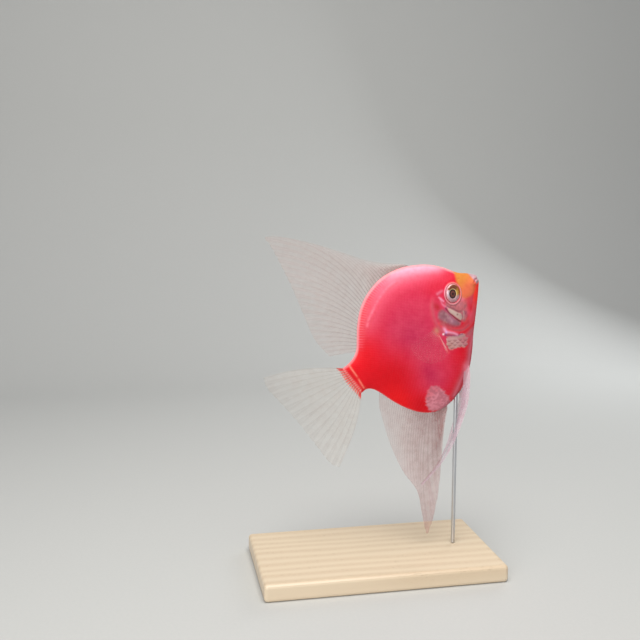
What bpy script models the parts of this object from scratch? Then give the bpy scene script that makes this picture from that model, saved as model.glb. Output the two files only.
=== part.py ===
"""Freshwater angelfish, life size, swimming nose-up, held still on a plain display stand.

The fish is built in its own upright frame and then tipped nose-up by one parent empty:
+X runs forward to the snout, +Y to its left side, +Z up to its back, with the origin at the
middle of the tail root. Distances named in lengths (of the fish) are shares of
STANDARD_LENGTH, from the snout to the tail root. Everything else is in metres.
"""

import math

import bmesh
import bpy
import numpy as np
from mathutils import Matrix, Vector

# ---------------------------------------------------------------- driving dimensions
STANDARD_LENGTH = 0.055
NOSE_UP = math.radians(39)  # how far the swimming fish points up
GAP = 0.0003  # clearance between neighbouring solids
BODY_WIDTH = 0.168  # widest part of the body, in lengths
FLANK_DEPTH = 0.26  # the flank rounds over to the outline within this, in lengths
FIN_ROOT, FIN_RIM = 0.0008, 0.0005  # thickness of a fin where it grows and at its margin

BASE_SIZE = (0.084, 0.046, 0.006)
ROD_RADIUS = 0.0007
ROD_SOCKET_DEPTH = 0.0035  # how far the rod reaches into the belly
TAIL_ROOT_AT = Vector((-0.0060, 0.0, 0.068))  # puts the whole fish over the base

EYE_AT = (0.804, 0.045)  # centre of the eye on the flank, in lengths
EYE_RADIUS, EYE_HALF_DEPTH = 0.00280, 0.00140
EYE_SIDE = 0.00222  # distance of the eyeball's centre from the middle plane
EYE_TURN = math.radians(13)  # the eyes look a little forward

# ---------------------------------------------------------------- outlines, in lengths
FLANK_CENTRE = np.array([0.42, -0.06])  # the spokes of the body's surface start here
BACK = [
    (1.005, 0.008), (0.965, 0.062), (0.915, 0.112), (0.862, 0.198), (0.805, 0.266),
    (0.735, 0.322), (0.640, 0.374), (0.520, 0.401), (0.400, 0.386), (0.300, 0.343),
    (0.215, 0.273), (0.150, 0.198), (0.105, 0.148), (0.055, 0.121), (0.005, 0.114),
]
TAIL_END = [(-0.030, 0.116), (-0.040, 0.085), (-0.044, 0.016), (-0.044, -0.060), (-0.038, -0.086)]
BELLY = [
    (0.000, -0.089), (0.032, -0.115), (0.056, -0.170), (0.085, -0.270), (0.125, -0.365),
    (0.180, -0.450), (0.255, -0.509), (0.340, -0.527), (0.430, -0.519), (0.520, -0.486),
    (0.610, -0.425), (0.690, -0.350), (0.760, -0.272), (0.840, -0.192), (0.915, -0.116),
    (0.965, -0.062), (0.995, -0.025),
]
GILL_SLIT = [  # from the nape, round the back of the gill covers, to the throat
    (0.700, 0.460), (0.712, 0.300), (0.722, 0.200), (0.690, 0.120), (0.635, 0.040),
    (0.605, -0.050), (0.605, -0.115), (0.640, -0.175), (0.710, -0.208), (0.790, -0.216),
    (0.900, -0.270),
]
GILL_COVER = [  # the plate's own edge, front edge first, from its top
    (0.712, 0.090), (0.738, 0.020), (0.752, -0.060), (0.775, -0.135), (0.770, -0.185),
    (0.710, -0.190), (0.652, -0.163), (0.622, -0.110), (0.622, -0.050), (0.650, 0.030),
    (0.690, 0.095),
]
JAW_LINE = [(1.060, 0.040), (0.955, -0.052), (0.918, -0.098), (0.850, -0.140), (0.790, -0.300)]
STEM_LINE = [(0.148, 0.600), (-0.030, -0.690)]  # the cut between trunk and tail stem

# Fins: (how far along the root, tip of the ray there, bow of the ray). The root runs along
# the body's outline from the first point to the second. A bow of 0.1 bends a ray by a tenth
# of its length, forwards.
DORSAL_ROOT = ((0.700, 0.346), (0.100, 0.145))
DORSAL_RAYS = [
    (0.00, (0.668, 0.388), 0.02), (0.12, (0.585, 0.462), 0.03), (0.24, (0.500, 0.565), 0.05),
    (0.34, (0.425, 0.680), 0.06), (0.42, (0.325, 0.830), 0.09), (0.46, (0.215, 0.970), 0.11),
    (0.49, (0.117, 1.058), 0.11), (0.53, (0.103, 0.985), 0.11), (0.60, (0.080, 0.870), 0.09),
    (0.70, (0.042, 0.710), 0.07), (0.80, (-0.010, 0.530), 0.05), (0.90, (-0.050, 0.370), 0.04),
    (1.00, (-0.045, 0.225), 0.03),
]
ANAL_ROOT = ((0.365, -0.526), (0.052, -0.160))
ANAL_RAYS = [
    (0.00, (0.325, -0.562), 0.00), (0.08, (0.222, -0.655), 0.00), (0.16, (0.075, -0.815), 0.01),
    (0.23, (-0.110, -0.985), 0.03), (0.28, (-0.290, -1.125), 0.04), (0.34, (-0.235, -0.985), 0.04),
    (0.42, (-0.165, -0.840), 0.04), (0.54, (-0.155, -0.690), 0.03), (0.68, (-0.125, -0.550), 0.02),
    (0.83, (-0.080, -0.410), 0.02), (1.00, (-0.010, -0.235), 0.00),
]
TAIL_ROOT = ((-0.030, 0.116), (-0.038, -0.086))
TAIL_RAYS = [
    (0.00, (-0.445, 0.395), 0.05), (0.12, (-0.470, 0.325), 0.03), (0.30, (-0.465, 0.190), 0.02),
    (0.50, (-0.462, 0.015), 0.00), (0.70, (-0.470, -0.165), -0.02), (0.88, (-0.475, -0.310), -0.03),
    (1.00, (-0.450, -0.380), -0.05),
]

# The pelvic fin: points (forward, sideways, up) down its middle, and its width at each.
PELVIC_PATH = [
    (0.572, 0.036, -0.438), (0.538, 0.043, -0.502), (0.455, 0.052, -0.566), (0.330, 0.058, -0.655),
    (0.190, 0.058, -0.740), (0.085, 0.052, -0.785), (-0.015, 0.044, -0.808), (-0.120, 0.040, -0.826),
]
PELVIC_WIDTHS = [0.030, 0.042, 0.040, 0.032, 0.024, 0.014, 0.011, 0.010]

# The pectoral fin fans back from a short root behind the gill cover.
PECTORAL_TOP, PECTORAL_LOW = (0.558, -0.052), (0.566, -0.118)
PECTORAL_FAN = (math.radians(160), math.radians(250))  # from the top ray to the lowest
PECTORAL_LENGTHS = (0.245, 0.150)
PECTORAL_SPREAD = math.radians(24)  # how far it stands off the flank

SKIN = (0.80, 0.04, 0.07)
SNOUT = (0.90, 0.30, 0.08)
FIN = (0.75, 0.62, 0.60)


# ---------------------------------------------------------------- curves and surfaces
def smoothstep(low, high, x):
    t = np.clip((x - low) / (high - low), 0, 1)
    return t * t * (3 - 2 * t)


def through(points, samples, closed=False):
    """A smooth curve through the points, as that many samples to a span."""
    p = np.asarray(points, float)
    if closed:
        p = np.vstack([p[-1], p, p[0], p[1]])
    else:
        p = np.vstack([2 * p[0] - p[1], p, 2 * p[-1] - p[-2]])
    t = np.linspace(0, 1, samples, endpoint=False)[:, None]
    spans = []
    for a, b, c, d in zip(p, p[1:], p[2:], p[3:]):
        spans.append(
            0.5 * (2 * b + (c - a) * t + (2 * a - 5 * b + 4 * c - d) * t**2
                   + (3 * b - a - 3 * c + d) * t**3)
        )
    curve = np.vstack(spans)
    return curve if closed else np.vstack([curve, p[-2]])


def spread_evenly(curve, count, closed=False):
    """That many points at equal steps along the curve."""
    if closed:
        curve = np.vstack([curve, curve[0]])
    along = np.concatenate([[0], np.cumsum(np.linalg.norm(np.diff(curve, axis=0), axis=1))])
    at = np.linspace(0, along[-1], count, endpoint=not closed)
    return np.stack([np.interp(at, along, curve[:, k]) for k in range(curve.shape[1])], 1)


OUTLINE = through(BACK + TAIL_END + BELLY, 16, closed=True)
RIM = spread_evenly(OUTLINE, 1500, closed=True)
RIM_STEP = np.linalg.norm(RIM[1] - RIM[0])


def depth_inside(u, v):
    """How far in from the outline a point lies, averaged all round so that no crease forms."""
    pull = (RIM_STEP / np.hypot(RIM[:, 0] - u, RIM[:, 1] - v) ** 3).sum()
    return math.sqrt(2 / pull)


def bump(u, v, at, size):
    """A soft round swelling, 1 at its middle."""
    return math.exp(-((u - at[0]) ** 2 + (v - at[1]) ** 2) / size**2)


def half_width(u, v):
    """Half the body's width at a point of the flank, all in lengths."""
    inward = min(depth_inside(u, v) / FLANK_DEPTH, 1)
    tail = 0.50 + 0.50 * smoothstep(-0.02, 0.55, u)
    nose = 1 - 0.45 * smoothstep(0.62, 1.02, u)
    flank = BODY_WIDTH / 2 * tail * nose * (inward * (2 - inward)) ** 0.62
    brow = 0.006 * bump(u, v, EYE_AT, 0.07)
    lips = 0.012 * bump(u, v, (0.975, -0.006), 0.035)
    cover = 0.005 * bump(u, v, (0.69, -0.06), 0.09)
    return flank + (brow + lips + cover) * min(4 * inward, 1)


def outline_between(first, last, count):
    """Points along the body's outline, the shorter way round, from one place to another."""
    start = int(np.argmin(np.linalg.norm(OUTLINE - first, axis=1)))
    stop = int(np.argmin(np.linalg.norm(OUTLINE - last, axis=1)))
    size = len(OUTLINE)
    ahead = (stop - start) % size
    steps = range(ahead + 1) if ahead <= size / 2 else range(0, ahead - size - 1, -1)
    return spread_evenly(np.array([OUTLINE[(start + k) % size] for k in steps]), count)


def stand_off(points, distance):
    """The same points moved straight away from the body's outline."""
    moved = []
    for p in points:
        nearest = int(np.argmin(np.linalg.norm(OUTLINE - p, axis=1)))
        along = OUTLINE[(nearest + 4) % len(OUTLINE)] - OUTLINE[nearest - 4]
        out = np.array([along[1], -along[0]]) / np.linalg.norm(along)
        if out @ (p - FLANK_CENTRE) < 0:
            out = -out
        moved.append(p + out * distance)
    return np.array(moved)


# ---------------------------------------------------------------- scene helpers
def clear_scene():
    for obj in list(bpy.data.objects):
        bpy.data.objects.remove(obj)


def finish_of(name, colour, roughness, metallic=0.0, alpha=1.0):
    material = bpy.data.materials.new(name)
    material.use_nodes = True
    shader = material.node_tree.nodes["Principled BSDF"]
    shader.inputs["Base Color"].default_value = (*colour, 1)
    shader.inputs["Roughness"].default_value = roughness
    shader.inputs["Metallic"].default_value = metallic
    shader.inputs["Alpha"].default_value = alpha
    return material


def collection_named(name):
    made = bpy.data.collections.new(name)
    bpy.context.scene.collection.children.link(made)
    return made


def add_object(name, mesh, material, smooth_angle=40):
    """A named piece of the fish, in the fish's own frame."""
    obj = bpy.data.objects.new(name, mesh)
    PIECES.objects.link(obj)
    obj.parent = FISH
    mesh.materials.append(material)
    mesh.shade_smooth()
    mesh.set_sharp_from_angle(angle=math.radians(smooth_angle))
    return obj


def make_cutter(obj):
    obj.hide_render = True
    obj.display_type = "WIRE"
    for collection in list(obj.users_collection):
        collection.objects.unlink(obj)
    CUTTERS.objects.link(obj)
    return obj


def cut(obj, cutter, operation):
    modifier = obj.modifiers.new(f"{operation.lower()}_{cutter.name}", "BOOLEAN")
    modifier.operation = operation
    modifier.object = cutter


def prism(name, outline, y_low, y_high):
    """A cutter: an outline in lengths, drawn on the middle plane and pushed out sideways."""
    bm = bmesh.new()
    ring = [bm.verts.new((u * STANDARD_LENGTH, y_low, v * STANDARD_LENGTH)) for u, v in outline]
    face = bm.faces.new(ring)
    pushed = bmesh.ops.extrude_face_region(bm, geom=[face])
    moved = [v for v in pushed["geom"] if isinstance(v, bmesh.types.BMVert)]
    bmesh.ops.translate(bm, verts=moved, vec=(0, y_high - y_low, 0))
    bmesh.ops.recalc_face_normals(bm, faces=bm.faces)
    mesh = bpy.data.meshes.new(name)
    bm.to_mesh(mesh)
    bm.free()
    obj = bpy.data.objects.new(name, mesh)
    CUTTERS.objects.link(obj)
    obj.parent = FISH
    return make_cutter(obj)


def shifted(points, du, dv):
    return [(u + du, v + dv) for u, v in points]


def grown(points, distance):
    """A closed outline moved outwards by a distance, all in lengths."""
    p = np.array(points)
    middle = p.mean(0)
    along = np.roll(p, -1, 0) - np.roll(p, 1, 0)
    out = np.stack([along[:, 1], -along[:, 0]], 1) / np.linalg.norm(along, axis=1)[:, None]
    facing = np.sign(((p - middle) * out).sum(1).sum())
    return [tuple(q) for q in p + out * facing * distance]


# ---------------------------------------------------------------- the body
def body_mesh(name, spokes=72, rings=10):
    """The whole body as one closed lens: spokes from each flank's middle to the outline."""
    rim = spread_evenly(OUTLINE, spokes, closed=True)
    shares = np.sin(np.linspace(0, math.pi / 2, rings + 1))[1:]
    bm = bmesh.new()

    def point(u, v, side):
        return bm.verts.new(
            (u * STANDARD_LENGTH, side * half_width(u, v) * STANDARD_LENGTH, v * STANDARD_LENGTH)
        )

    edge = [bm.verts.new((u * STANDARD_LENGTH, 0, v * STANDARD_LENGTH)) for u, v in rim]
    for side in (-1, 1):
        middle = point(*FLANK_CENTRE, side)
        circles = []
        for share in shares[:-1]:
            places = FLANK_CENTRE + (rim - FLANK_CENTRE) * share
            circles.append([point(u, v, side) for u, v in places])
        circles.append(edge)
        for k in range(spokes):
            after = (k + 1) % spokes
            bm.faces.new([middle, circles[0][k], circles[0][after]])
            for inner, outer in zip(circles, circles[1:]):
                bm.faces.new([inner[k], outer[k], outer[after], inner[after]])
    bmesh.ops.recalc_face_normals(bm, faces=bm.faces)
    mesh = bpy.data.meshes.new(name)
    bm.to_mesh(mesh)
    bm.free()
    return mesh


def eye_solid(name, side, extra, segments, rings):
    """The flattened eyeball, or its socket when it is made larger by extra."""
    bpy.ops.mesh.primitive_uv_sphere_add(segments=segments, ring_count=rings, radius=1)
    eye = bpy.context.object
    eye.name = eye.data.name = name
    radius, depth = EYE_RADIUS + extra, EYE_HALF_DEPTH + extra
    poles_sideways = Matrix.Rotation(math.pi / 2, 4, "X")
    eye.data.transform(Matrix.Diagonal((radius, depth, radius, 1)) @ poles_sideways)
    eye.data.shade_smooth()
    eye.rotation_euler.z = -side * EYE_TURN
    eye.location = (EYE_AT[0] * STANDARD_LENGTH, side * EYE_SIDE, EYE_AT[1] * STANDARD_LENGTH)
    eye.parent = FISH
    for collection in list(eye.users_collection):
        collection.objects.unlink(eye)
    PIECES.objects.link(eye)
    return eye


def build_body(skin, snout):
    """Head, jaw, gill covers, trunk and tail stem, parted from one body by thin cuts."""
    gap = GAP / STANDARD_LENGTH
    wide = BODY_WIDTH * STANDARD_LENGTH
    slit = [tuple(p) for p in through(GILL_SLIT, 3)]
    jaw = [tuple(p) for p in through(JAW_LINE, 2)]
    head_zone = prism("head_zone", shifted(slit, gap / 2, 0) + [(1.2, -0.270), (1.2, 0.460)], -wide, wide)
    ahead, behind = shifted(STEM_LINE, gap / 2, 0), shifted(STEM_LINE, -gap / 2, 0)
    trunk_zone = prism(
        "trunk_zone",
        shifted(slit, -gap / 2, 0) + [(0.900, -0.690), ahead[1], ahead[0], (0.700, 0.600)],
        -wide, wide,
    )
    stem_zone = prism("stem_zone", [(-0.2, -0.690), behind[1], behind[0], (-0.2, 0.600)], -wide, wide)
    jaw_zone = prism("jaw_zone", jaw + [(1.2, -0.300), (1.2, 0.040)], -wide, wide)
    jaw_room = prism("jaw_room", shifted(jaw, -gap, gap * 0.4) + [(1.3, -0.310), (1.3, 0.050)], -wide, wide)

    head = add_object("head", body_mesh("head"), snout)
    cut(head, head_zone, "INTERSECT")
    cut(head, jaw_room, "DIFFERENCE")
    lower_jaw = add_object("jaw", body_mesh("jaw"), skin)
    cut(lower_jaw, head_zone, "INTERSECT")
    cut(lower_jaw, jaw_zone, "INTERSECT")

    plate_edge = [tuple(p) for p in through(GILL_COVER, 2, closed=True)]
    plate_depth = 0.0022  # from the middle plane to the inside of the gill cover
    for label, side in (("right", -1), ("left", 1)):
        near, far = sorted((side * plate_depth, side * wide))
        plate = prism(f"gill_plate_{label}", plate_edge, near, far)
        near, far = sorted((side * (plate_depth - GAP), side * 2 * wide))
        room = prism(f"gill_room_{label}", grown(plate_edge, gap), near, far)
        cover = add_object(f"gill_cover_{label}", body_mesh(f"gill_cover_{label}"), skin)
        cut(cover, plate, "INTERSECT")
        cut(head, room, "DIFFERENCE")
        socket = make_cutter(eye_solid(f"socket_{label}", side, GAP, 20, 10))
        cut(head, socket, "DIFFERENCE")

    trunk = add_object("trunk", body_mesh("trunk"), skin)
    cut(trunk, trunk_zone, "INTERSECT")
    stem = add_object("tail_stem", body_mesh("tail_stem"), skin)
    cut(stem, stem_zone, "INTERSECT")
    return trunk


# ---------------------------------------------------------------- the fins
def thick_sheet(name, middle, thickness, material):
    """A closed solid round a grid of middle points, (rows, columns, 3), thick along its normal."""
    rows, columns = middle.shape[:2]
    across, down = np.gradient(middle, axis=0), np.gradient(middle, axis=1)
    normal = np.cross(across, down)
    normal /= np.linalg.norm(normal, axis=2)[..., None]
    bm = bmesh.new()
    sides = []
    for sign in (1, -1):
        grid = middle + sign * normal * thickness[..., None] / 2
        sides.append([[bm.verts.new(grid[i, j]) for j in range(columns)] for i in range(rows)])
    for grid in sides:
        for i in range(rows - 1):
            for j in range(columns - 1):
                bm.faces.new([grid[i][j], grid[i + 1][j], grid[i + 1][j + 1], grid[i][j + 1]])
    border = [(i, 0) for i in range(rows)] + [(rows - 1, j) for j in range(1, columns)]
    border += [(i, columns - 1) for i in range(rows - 2, -1, -1)] + [(0, j) for j in range(columns - 2, 0, -1)]
    for (i, j), (k, m) in zip(border, border[1:] + border[:1]):
        bm.faces.new([sides[0][i][j], sides[0][k][m], sides[1][k][m], sides[1][i][j]])
    bmesh.ops.recalc_face_normals(bm, faces=bm.faces)
    mesh = bpy.data.meshes.new(name)
    bm.to_mesh(mesh)
    bm.free()
    return add_object(name, mesh, material)


def sway(u, v, wave, lean):
    """Sideways drift of a fin's loose part, in lengths."""
    return lean + wave * math.sin(9 * u + 7 * v)


def ray_fin(name, root, rays, material, columns=26, steps=8, wave=0.010, lean=0.0):
    """A fin on the middle plane: bowed rays from the body's outline out to their tips."""
    roots = stand_off(outline_between(*root, 60), GAP / STANDARD_LENGTH)
    ends = np.array([(at, *tip, bow) for at, tip, bow in rays])
    ends = spread_evenly(through(ends, 12), columns)
    middle, thickness = np.zeros((columns, steps, 3)), np.zeros((columns, steps))
    for i, (at, tip_u, tip_v, bow) in enumerate(ends):
        start = np.array([np.interp(at, np.linspace(0, 1, 60), roots[:, k]) for k in (0, 1)])
        chord = np.array([tip_u, tip_v]) - start
        forward = np.array([chord[1], -chord[0]])
        for j, t in enumerate(np.linspace(0, 1, steps)):
            u, v = start + chord * t + forward * bow * 4 * t * (1 - t)
            aside = sway(u, v, wave, lean) * smoothstep(0.1, 1.0, t)
            middle[i, j] = np.array([u, aside, v]) * STANDARD_LENGTH
            thickness[i, j] = FIN_ROOT + (FIN_RIM - FIN_ROOT) * t
    return thick_sheet(name, middle, thickness, material)


def build_pelvic(label, side, material, steps=22):
    """A flat blade that narrows to a long thread, hung from the chest."""
    path = spread_evenly(through(np.array(PELVIC_PATH) * (1, side, 1), 12), steps)
    widths = np.interp(np.linspace(0, 1, steps), np.linspace(0, 1, len(PELVIC_WIDTHS)), PELVIC_WIDTHS)
    along = np.gradient(path, axis=0)
    across = np.stack([-along[:, 2], np.zeros(steps), along[:, 0]], 1)
    across /= np.linalg.norm(across, axis=1)[:, None]
    shares = (-0.5, 0, 0.5)
    middle = np.stack([path + across * widths[:, None] * share for share in shares], 1)
    thickness = np.full((steps, len(shares)), FIN_RIM)
    return thick_sheet(f"pelvic_fin_{label}", middle * STANDARD_LENGTH, thickness, material)


def build_pectoral(label, side, material, columns=12, steps=7):
    """A clear fan behind the gill cover, held off the flank."""
    middle, thickness = np.zeros((columns, steps, 3)), np.zeros((columns, steps))
    for i, across in enumerate(np.linspace(0, 1, columns)):
        root_u, root_v = np.array(PECTORAL_TOP) * (1 - across) + np.array(PECTORAL_LOW) * across
        angle = PECTORAL_FAN[0] * (1 - across) + PECTORAL_FAN[1] * across
        length = PECTORAL_LENGTHS[0] * (1 - across) + PECTORAL_LENGTHS[1] * across
        length *= 0.80 + 0.28 * math.sin(math.pi * across) ** 0.6
        out = half_width(root_u, root_v) + 1.4 * GAP / STANDARD_LENGTH + FIN_ROOT / 2 / STANDARD_LENGTH
        for j, t in enumerate(np.linspace(0, 1, steps)):
            reach = length * t * math.cos(PECTORAL_SPREAD)
            u, v = root_u + math.cos(angle) * reach, root_v + math.sin(angle) * reach
            aside = out + length * t * math.sin(PECTORAL_SPREAD) * (1 - 0.25 * t)
            middle[i, j] = np.array([u, side * aside, v]) * STANDARD_LENGTH
            thickness[i, j] = FIN_RIM
    return thick_sheet(f"pectoral_fin_{label}", middle, thickness, material)


# ---------------------------------------------------------------- the stand
def build_stand(trunk, wood, steel):
    """A flat base with one upright rod that ends in the belly, ahead of the anal fin."""
    length, depth, height = BASE_SIZE
    bpy.ops.mesh.primitive_cube_add(size=1, location=(0, 0, height / 2))
    base = bpy.context.object
    base.name = base.data.name = "stand_base"
    base.data.transform(Matrix.Diagonal((length, depth, height, 1)))
    corners = base.modifiers.new("round_corners", "BEVEL")
    corners.width, corners.segments = 0.0012, 3
    base.data.materials.append(wood)

    belly = np.array([0.418, -0.521])
    turn, lift = math.cos(NOSE_UP), math.sin(NOSE_UP)
    rod_x = (belly[0] * turn - belly[1] * lift) * STANDARD_LENGTH + TAIL_ROOT_AT.x
    belly_z = (belly[0] * lift + belly[1] * turn) * STANDARD_LENGTH + TAIL_ROOT_AT.z
    foot, top = height + GAP, belly_z + ROD_SOCKET_DEPTH
    rod = upright("stand_rod", rod_x, foot, top, ROD_RADIUS)
    PIECES.objects.link(rod)
    rod.data.materials.append(steel)
    rod.data.shade_smooth()
    rod.data.set_sharp_from_angle(angle=math.radians(40))
    socket = upright("rod_socket", rod_x, foot, top + GAP, ROD_RADIUS + GAP)
    cut(trunk, make_cutter(socket), "DIFFERENCE")
    for collection in list(base.users_collection):
        collection.objects.unlink(base)
    PIECES.objects.link(base)


def upright(name, x, low, high, radius):
    """A round bar standing on the middle plane, not yet in a collection."""
    bpy.ops.mesh.primitive_cylinder_add(
        vertices=20, radius=radius, depth=high - low, location=(x, 0, (low + high) / 2)
    )
    bar = bpy.context.object
    bar.name = bar.data.name = name
    for collection in list(bar.users_collection):
        collection.objects.unlink(bar)
    return bar


clear_scene()
PIECES, CUTTERS = collection_named("freshwater_angelfish"), collection_named("cutters")
FISH = bpy.data.objects.new("fish_pose", None)
PIECES.objects.link(FISH)
FISH.location = TAIL_ROOT_AT
FISH.rotation_euler = (0, -NOSE_UP, 0)

skin_finish = finish_of("skin", SKIN, 0.35)
snout_finish = finish_of("snout_skin", SNOUT, 0.35)
fin_finish = finish_of("fin_membrane", FIN, 0.30, alpha=0.5)
eye_finish = finish_of("eye", (0.03, 0.02, 0.02), 0.10)
wood_finish = finish_of("walnut", (0.12, 0.06, 0.03), 0.45)
steel_finish = finish_of("steel", (0.60, 0.60, 0.62), 0.30, metallic=1.0)

trunk_node = build_body(skin_finish, snout_finish)
ray_fin("dorsal_fin", DORSAL_ROOT, DORSAL_RAYS, fin_finish, columns=30)
ray_fin("anal_fin", ANAL_ROOT, ANAL_RAYS, fin_finish, columns=30)
ray_fin("tail_fin", TAIL_ROOT, TAIL_RAYS, fin_finish, columns=20, lean=0.030)
for fin_label, fin_side in (("right", -1), ("left", 1)):
    eye_solid(f"eye_{fin_label}", fin_side, 0.0, 20, 10).data.materials.append(eye_finish)
    build_pelvic(fin_label, fin_side, fin_finish)
    build_pectoral(fin_label, fin_side, fin_finish)
build_stand(trunk_node, wood_finish, steel_finish)
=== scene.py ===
# %% [markdown]
# # A freshwater angelfish on a display stand
# A museum model of a living fish is made in layers: a solid body, a painted skin over it, thin
# scales laid on the skin in rows, glass eyes, and fins cast in clear resin. This lesson builds the
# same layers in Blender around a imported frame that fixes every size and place.

# %% Load the frame
import math

import bpy
import numpy as np
from mathutils import Matrix, Vector


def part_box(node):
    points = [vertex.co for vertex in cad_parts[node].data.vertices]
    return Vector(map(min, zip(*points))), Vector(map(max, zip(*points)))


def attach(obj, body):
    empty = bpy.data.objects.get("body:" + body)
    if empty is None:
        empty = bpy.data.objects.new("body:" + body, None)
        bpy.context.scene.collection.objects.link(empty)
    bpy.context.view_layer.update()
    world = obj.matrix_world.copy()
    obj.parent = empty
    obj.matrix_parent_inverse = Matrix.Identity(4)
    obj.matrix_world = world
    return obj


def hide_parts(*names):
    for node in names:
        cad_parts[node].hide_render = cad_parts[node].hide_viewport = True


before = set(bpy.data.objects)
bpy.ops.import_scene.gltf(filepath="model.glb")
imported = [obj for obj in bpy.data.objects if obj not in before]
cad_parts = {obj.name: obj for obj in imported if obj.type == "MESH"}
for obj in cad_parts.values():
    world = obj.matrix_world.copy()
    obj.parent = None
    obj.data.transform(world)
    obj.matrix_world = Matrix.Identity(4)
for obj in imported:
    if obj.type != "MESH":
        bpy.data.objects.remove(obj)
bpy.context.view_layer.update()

MM = 0.001
SIDES = (("left", 1), ("right", -1))

# %% [markdown]
# ## Where the fish is
# The fish swims nose-up, so its own axes are tipped against the room's. Everything on it is built
# level, in shares of its length ("lengths"): u runs forward from the tail root to the snout and v
# up to the back. One matrix then tips the pieces into place. The matrix could be typed in, but the
# two eyes of the frame already say where the fish is, so it is worked out from them.

# %% The fish's own frame
LENGTH = 0.055
NOSE_UP = math.radians(39)
EYE_AT = np.array([0.804, 0.045])


def box_centre(node):
    low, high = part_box(node)
    return (low + high) / 2


tipped = Matrix.Rotation(-NOSE_UP, 4, "Y")
between_eyes = (box_centre("eye_left") + box_centre("eye_right")) / 2
TAIL_ROOT = between_eyes - tipped @ Vector((EYE_AT[0] * LENGTH, 0, EYE_AT[1] * LENGTH))
FISH_PLACE = Matrix.Translation(TAIL_ROOT) @ tipped
print("tail root, mm:", [round(x / MM, 2) for x in TAIL_ROOT])

# %% [markdown]
# ## The camera
# The camera looks a little down on the fish, from slightly behind its middle, and keeps plenty of
# room on its left. A long lens would flatten the fish; this one is a normal view at arm's length.

# %% Camera
CAMERA_TURN, CAMERA_RISE = math.radians(-11), math.radians(8)
CAMERA_DISTANCE = 0.29876
AIM_FROM_TAIL = Vector((-0.01322, 0, 0.02098))
VIEW_ANGLE = math.radians(40)

camera = bpy.data.objects.new("camera", bpy.data.cameras.new("camera"))
bpy.context.scene.collection.objects.link(camera)
towards_camera = Vector((
    math.sin(CAMERA_TURN) * math.cos(CAMERA_RISE),
    -math.cos(CAMERA_TURN) * math.cos(CAMERA_RISE),
    math.sin(CAMERA_RISE),
))
camera.location = TAIL_ROOT + AIM_FROM_TAIL + towards_camera * CAMERA_DISTANCE
camera.rotation_euler = towards_camera.to_track_quat("Z", "Y").to_euler()
camera.data.angle = VIEW_ANGLE
camera.data.clip_start = 0.01
bpy.context.scene.camera = camera
print("camera height, mm:", round(camera.location.z / MM))

# %% [markdown]
# ## Curves
# An animal has no straight edge, so each outline is a few points with a smooth curve through them.
# Blender has curve objects for that, but the body, its markings and its scales all ask how far a
# point is from such a curve, so the curves are kept as plain arrays here.

# %% Curve helpers
def ease(low, high, x):
    """0 where x is at low and 1 where it is at high, with a soft start and end."""
    t = np.clip((x - low) / (high - low), 0, 1)
    return t * t * (3 - 2 * t)


def through(points, samples=5, closed=False):
    """A smooth curve through the points, as that many samples to a span."""
    p = np.asarray(points, float)
    ends = [p[-1:], p[:2]] if closed else [2 * p[:1] - p[1:2], 2 * p[-1:] - p[-2:-1]]
    p = np.vstack([ends[0], p, ends[1]])
    t = np.linspace(0, 1, samples, endpoint=False)[:, None]
    spans = []
    for a, b, c, d in zip(p, p[1:], p[2:], p[3:]):
        bend, twist = 2 * a - 5 * b + 4 * c - d, 3 * b - a - 3 * c + d
        spans.append(0.5 * (2 * b + (c - a) * t + bend * t**2 + twist * t**3))
    curve = np.vstack(spans)
    return curve if closed else np.vstack([curve, p[-2]])


def loop(points, samples=4):
    """A smooth curve that closes on itself."""
    return through(points, samples, closed=True)


def spread_evenly(curve, count, closed=False):
    """That many points at equal steps along the curve."""
    if closed:
        curve = np.vstack([curve, curve[0]])
    along = np.concatenate([[0], np.cumsum(np.linalg.norm(np.diff(curve, axis=0), axis=1))])
    at = np.linspace(0, along[-1], count, endpoint=not closed)
    return np.stack([np.interp(at, along, column) for column in curve.T], 1)

# %% Distances
def distance_to(u, v, curve):
    """How far each place is from an open curve, and the share of the curve where it is nearest."""
    start, step = curve[:-1], np.diff(curve, axis=0)
    near, share = np.full(u.shape, np.inf), np.zeros(u.shape)
    for k, (a, d) in enumerate(zip(start, step)):
        t = np.clip(((u - a[0]) * d[0] + (v - a[1]) * d[1]) / (d @ d), 0, 1)
        gap = np.hypot(u - a[0] - t * d[0], v - a[1] - t * d[1])
        closer = gap < near
        near = np.where(closer, gap, near)
        share = np.where(closer, (k + t) / len(step), share)
    return near, share


def depth_in(u, v, outline):
    """How far inside a closed outline each place is; outside it the number is negative."""
    ring = np.vstack([outline, outline[0]])
    within = np.zeros(u.shape, bool)
    for a, b in zip(ring, ring[1:]):
        if a[1] != b[1]:
            crosses = (a[1] > v) != (b[1] > v)
            within ^= crosses & (u < a[0] + (b[0] - a[0]) * (v - a[1]) / (b[1] - a[1]))
    near, _ = distance_to(u, v, ring)
    return np.where(within, near, -near)


def spot(u, v, at, size):
    """A soft round mark, 1 at its middle. The size may differ along and across the fish."""
    along, across = size if isinstance(size, tuple) else (size, size)
    return np.exp(-(((u - at[0]) / along) ** 2) - ((v - at[1]) / across) ** 2)


def ridge(u, v, curve, width):
    """A soft line along a curve, 1 at its middle."""
    return np.exp(-((distance_to(u, v, curve)[0] / width) ** 2))


square = loop([(0, 0), (1, 0), (1, 1), (0, 1)])
print("middle of a rounded square, in from its edge:", depth_in(*np.full((2, 1), 0.5), square))

# %% [markdown]
# ## The body's form
# The flank is a lens: full in the middle and rounding over to a thin edge all round. The width at
# a place follows from how deep inside the outline it is. The same law made the frame's solids, so
# the skin fits them. A sculpted mesh would do, but a law can be asked for the width anywhere.

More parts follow.
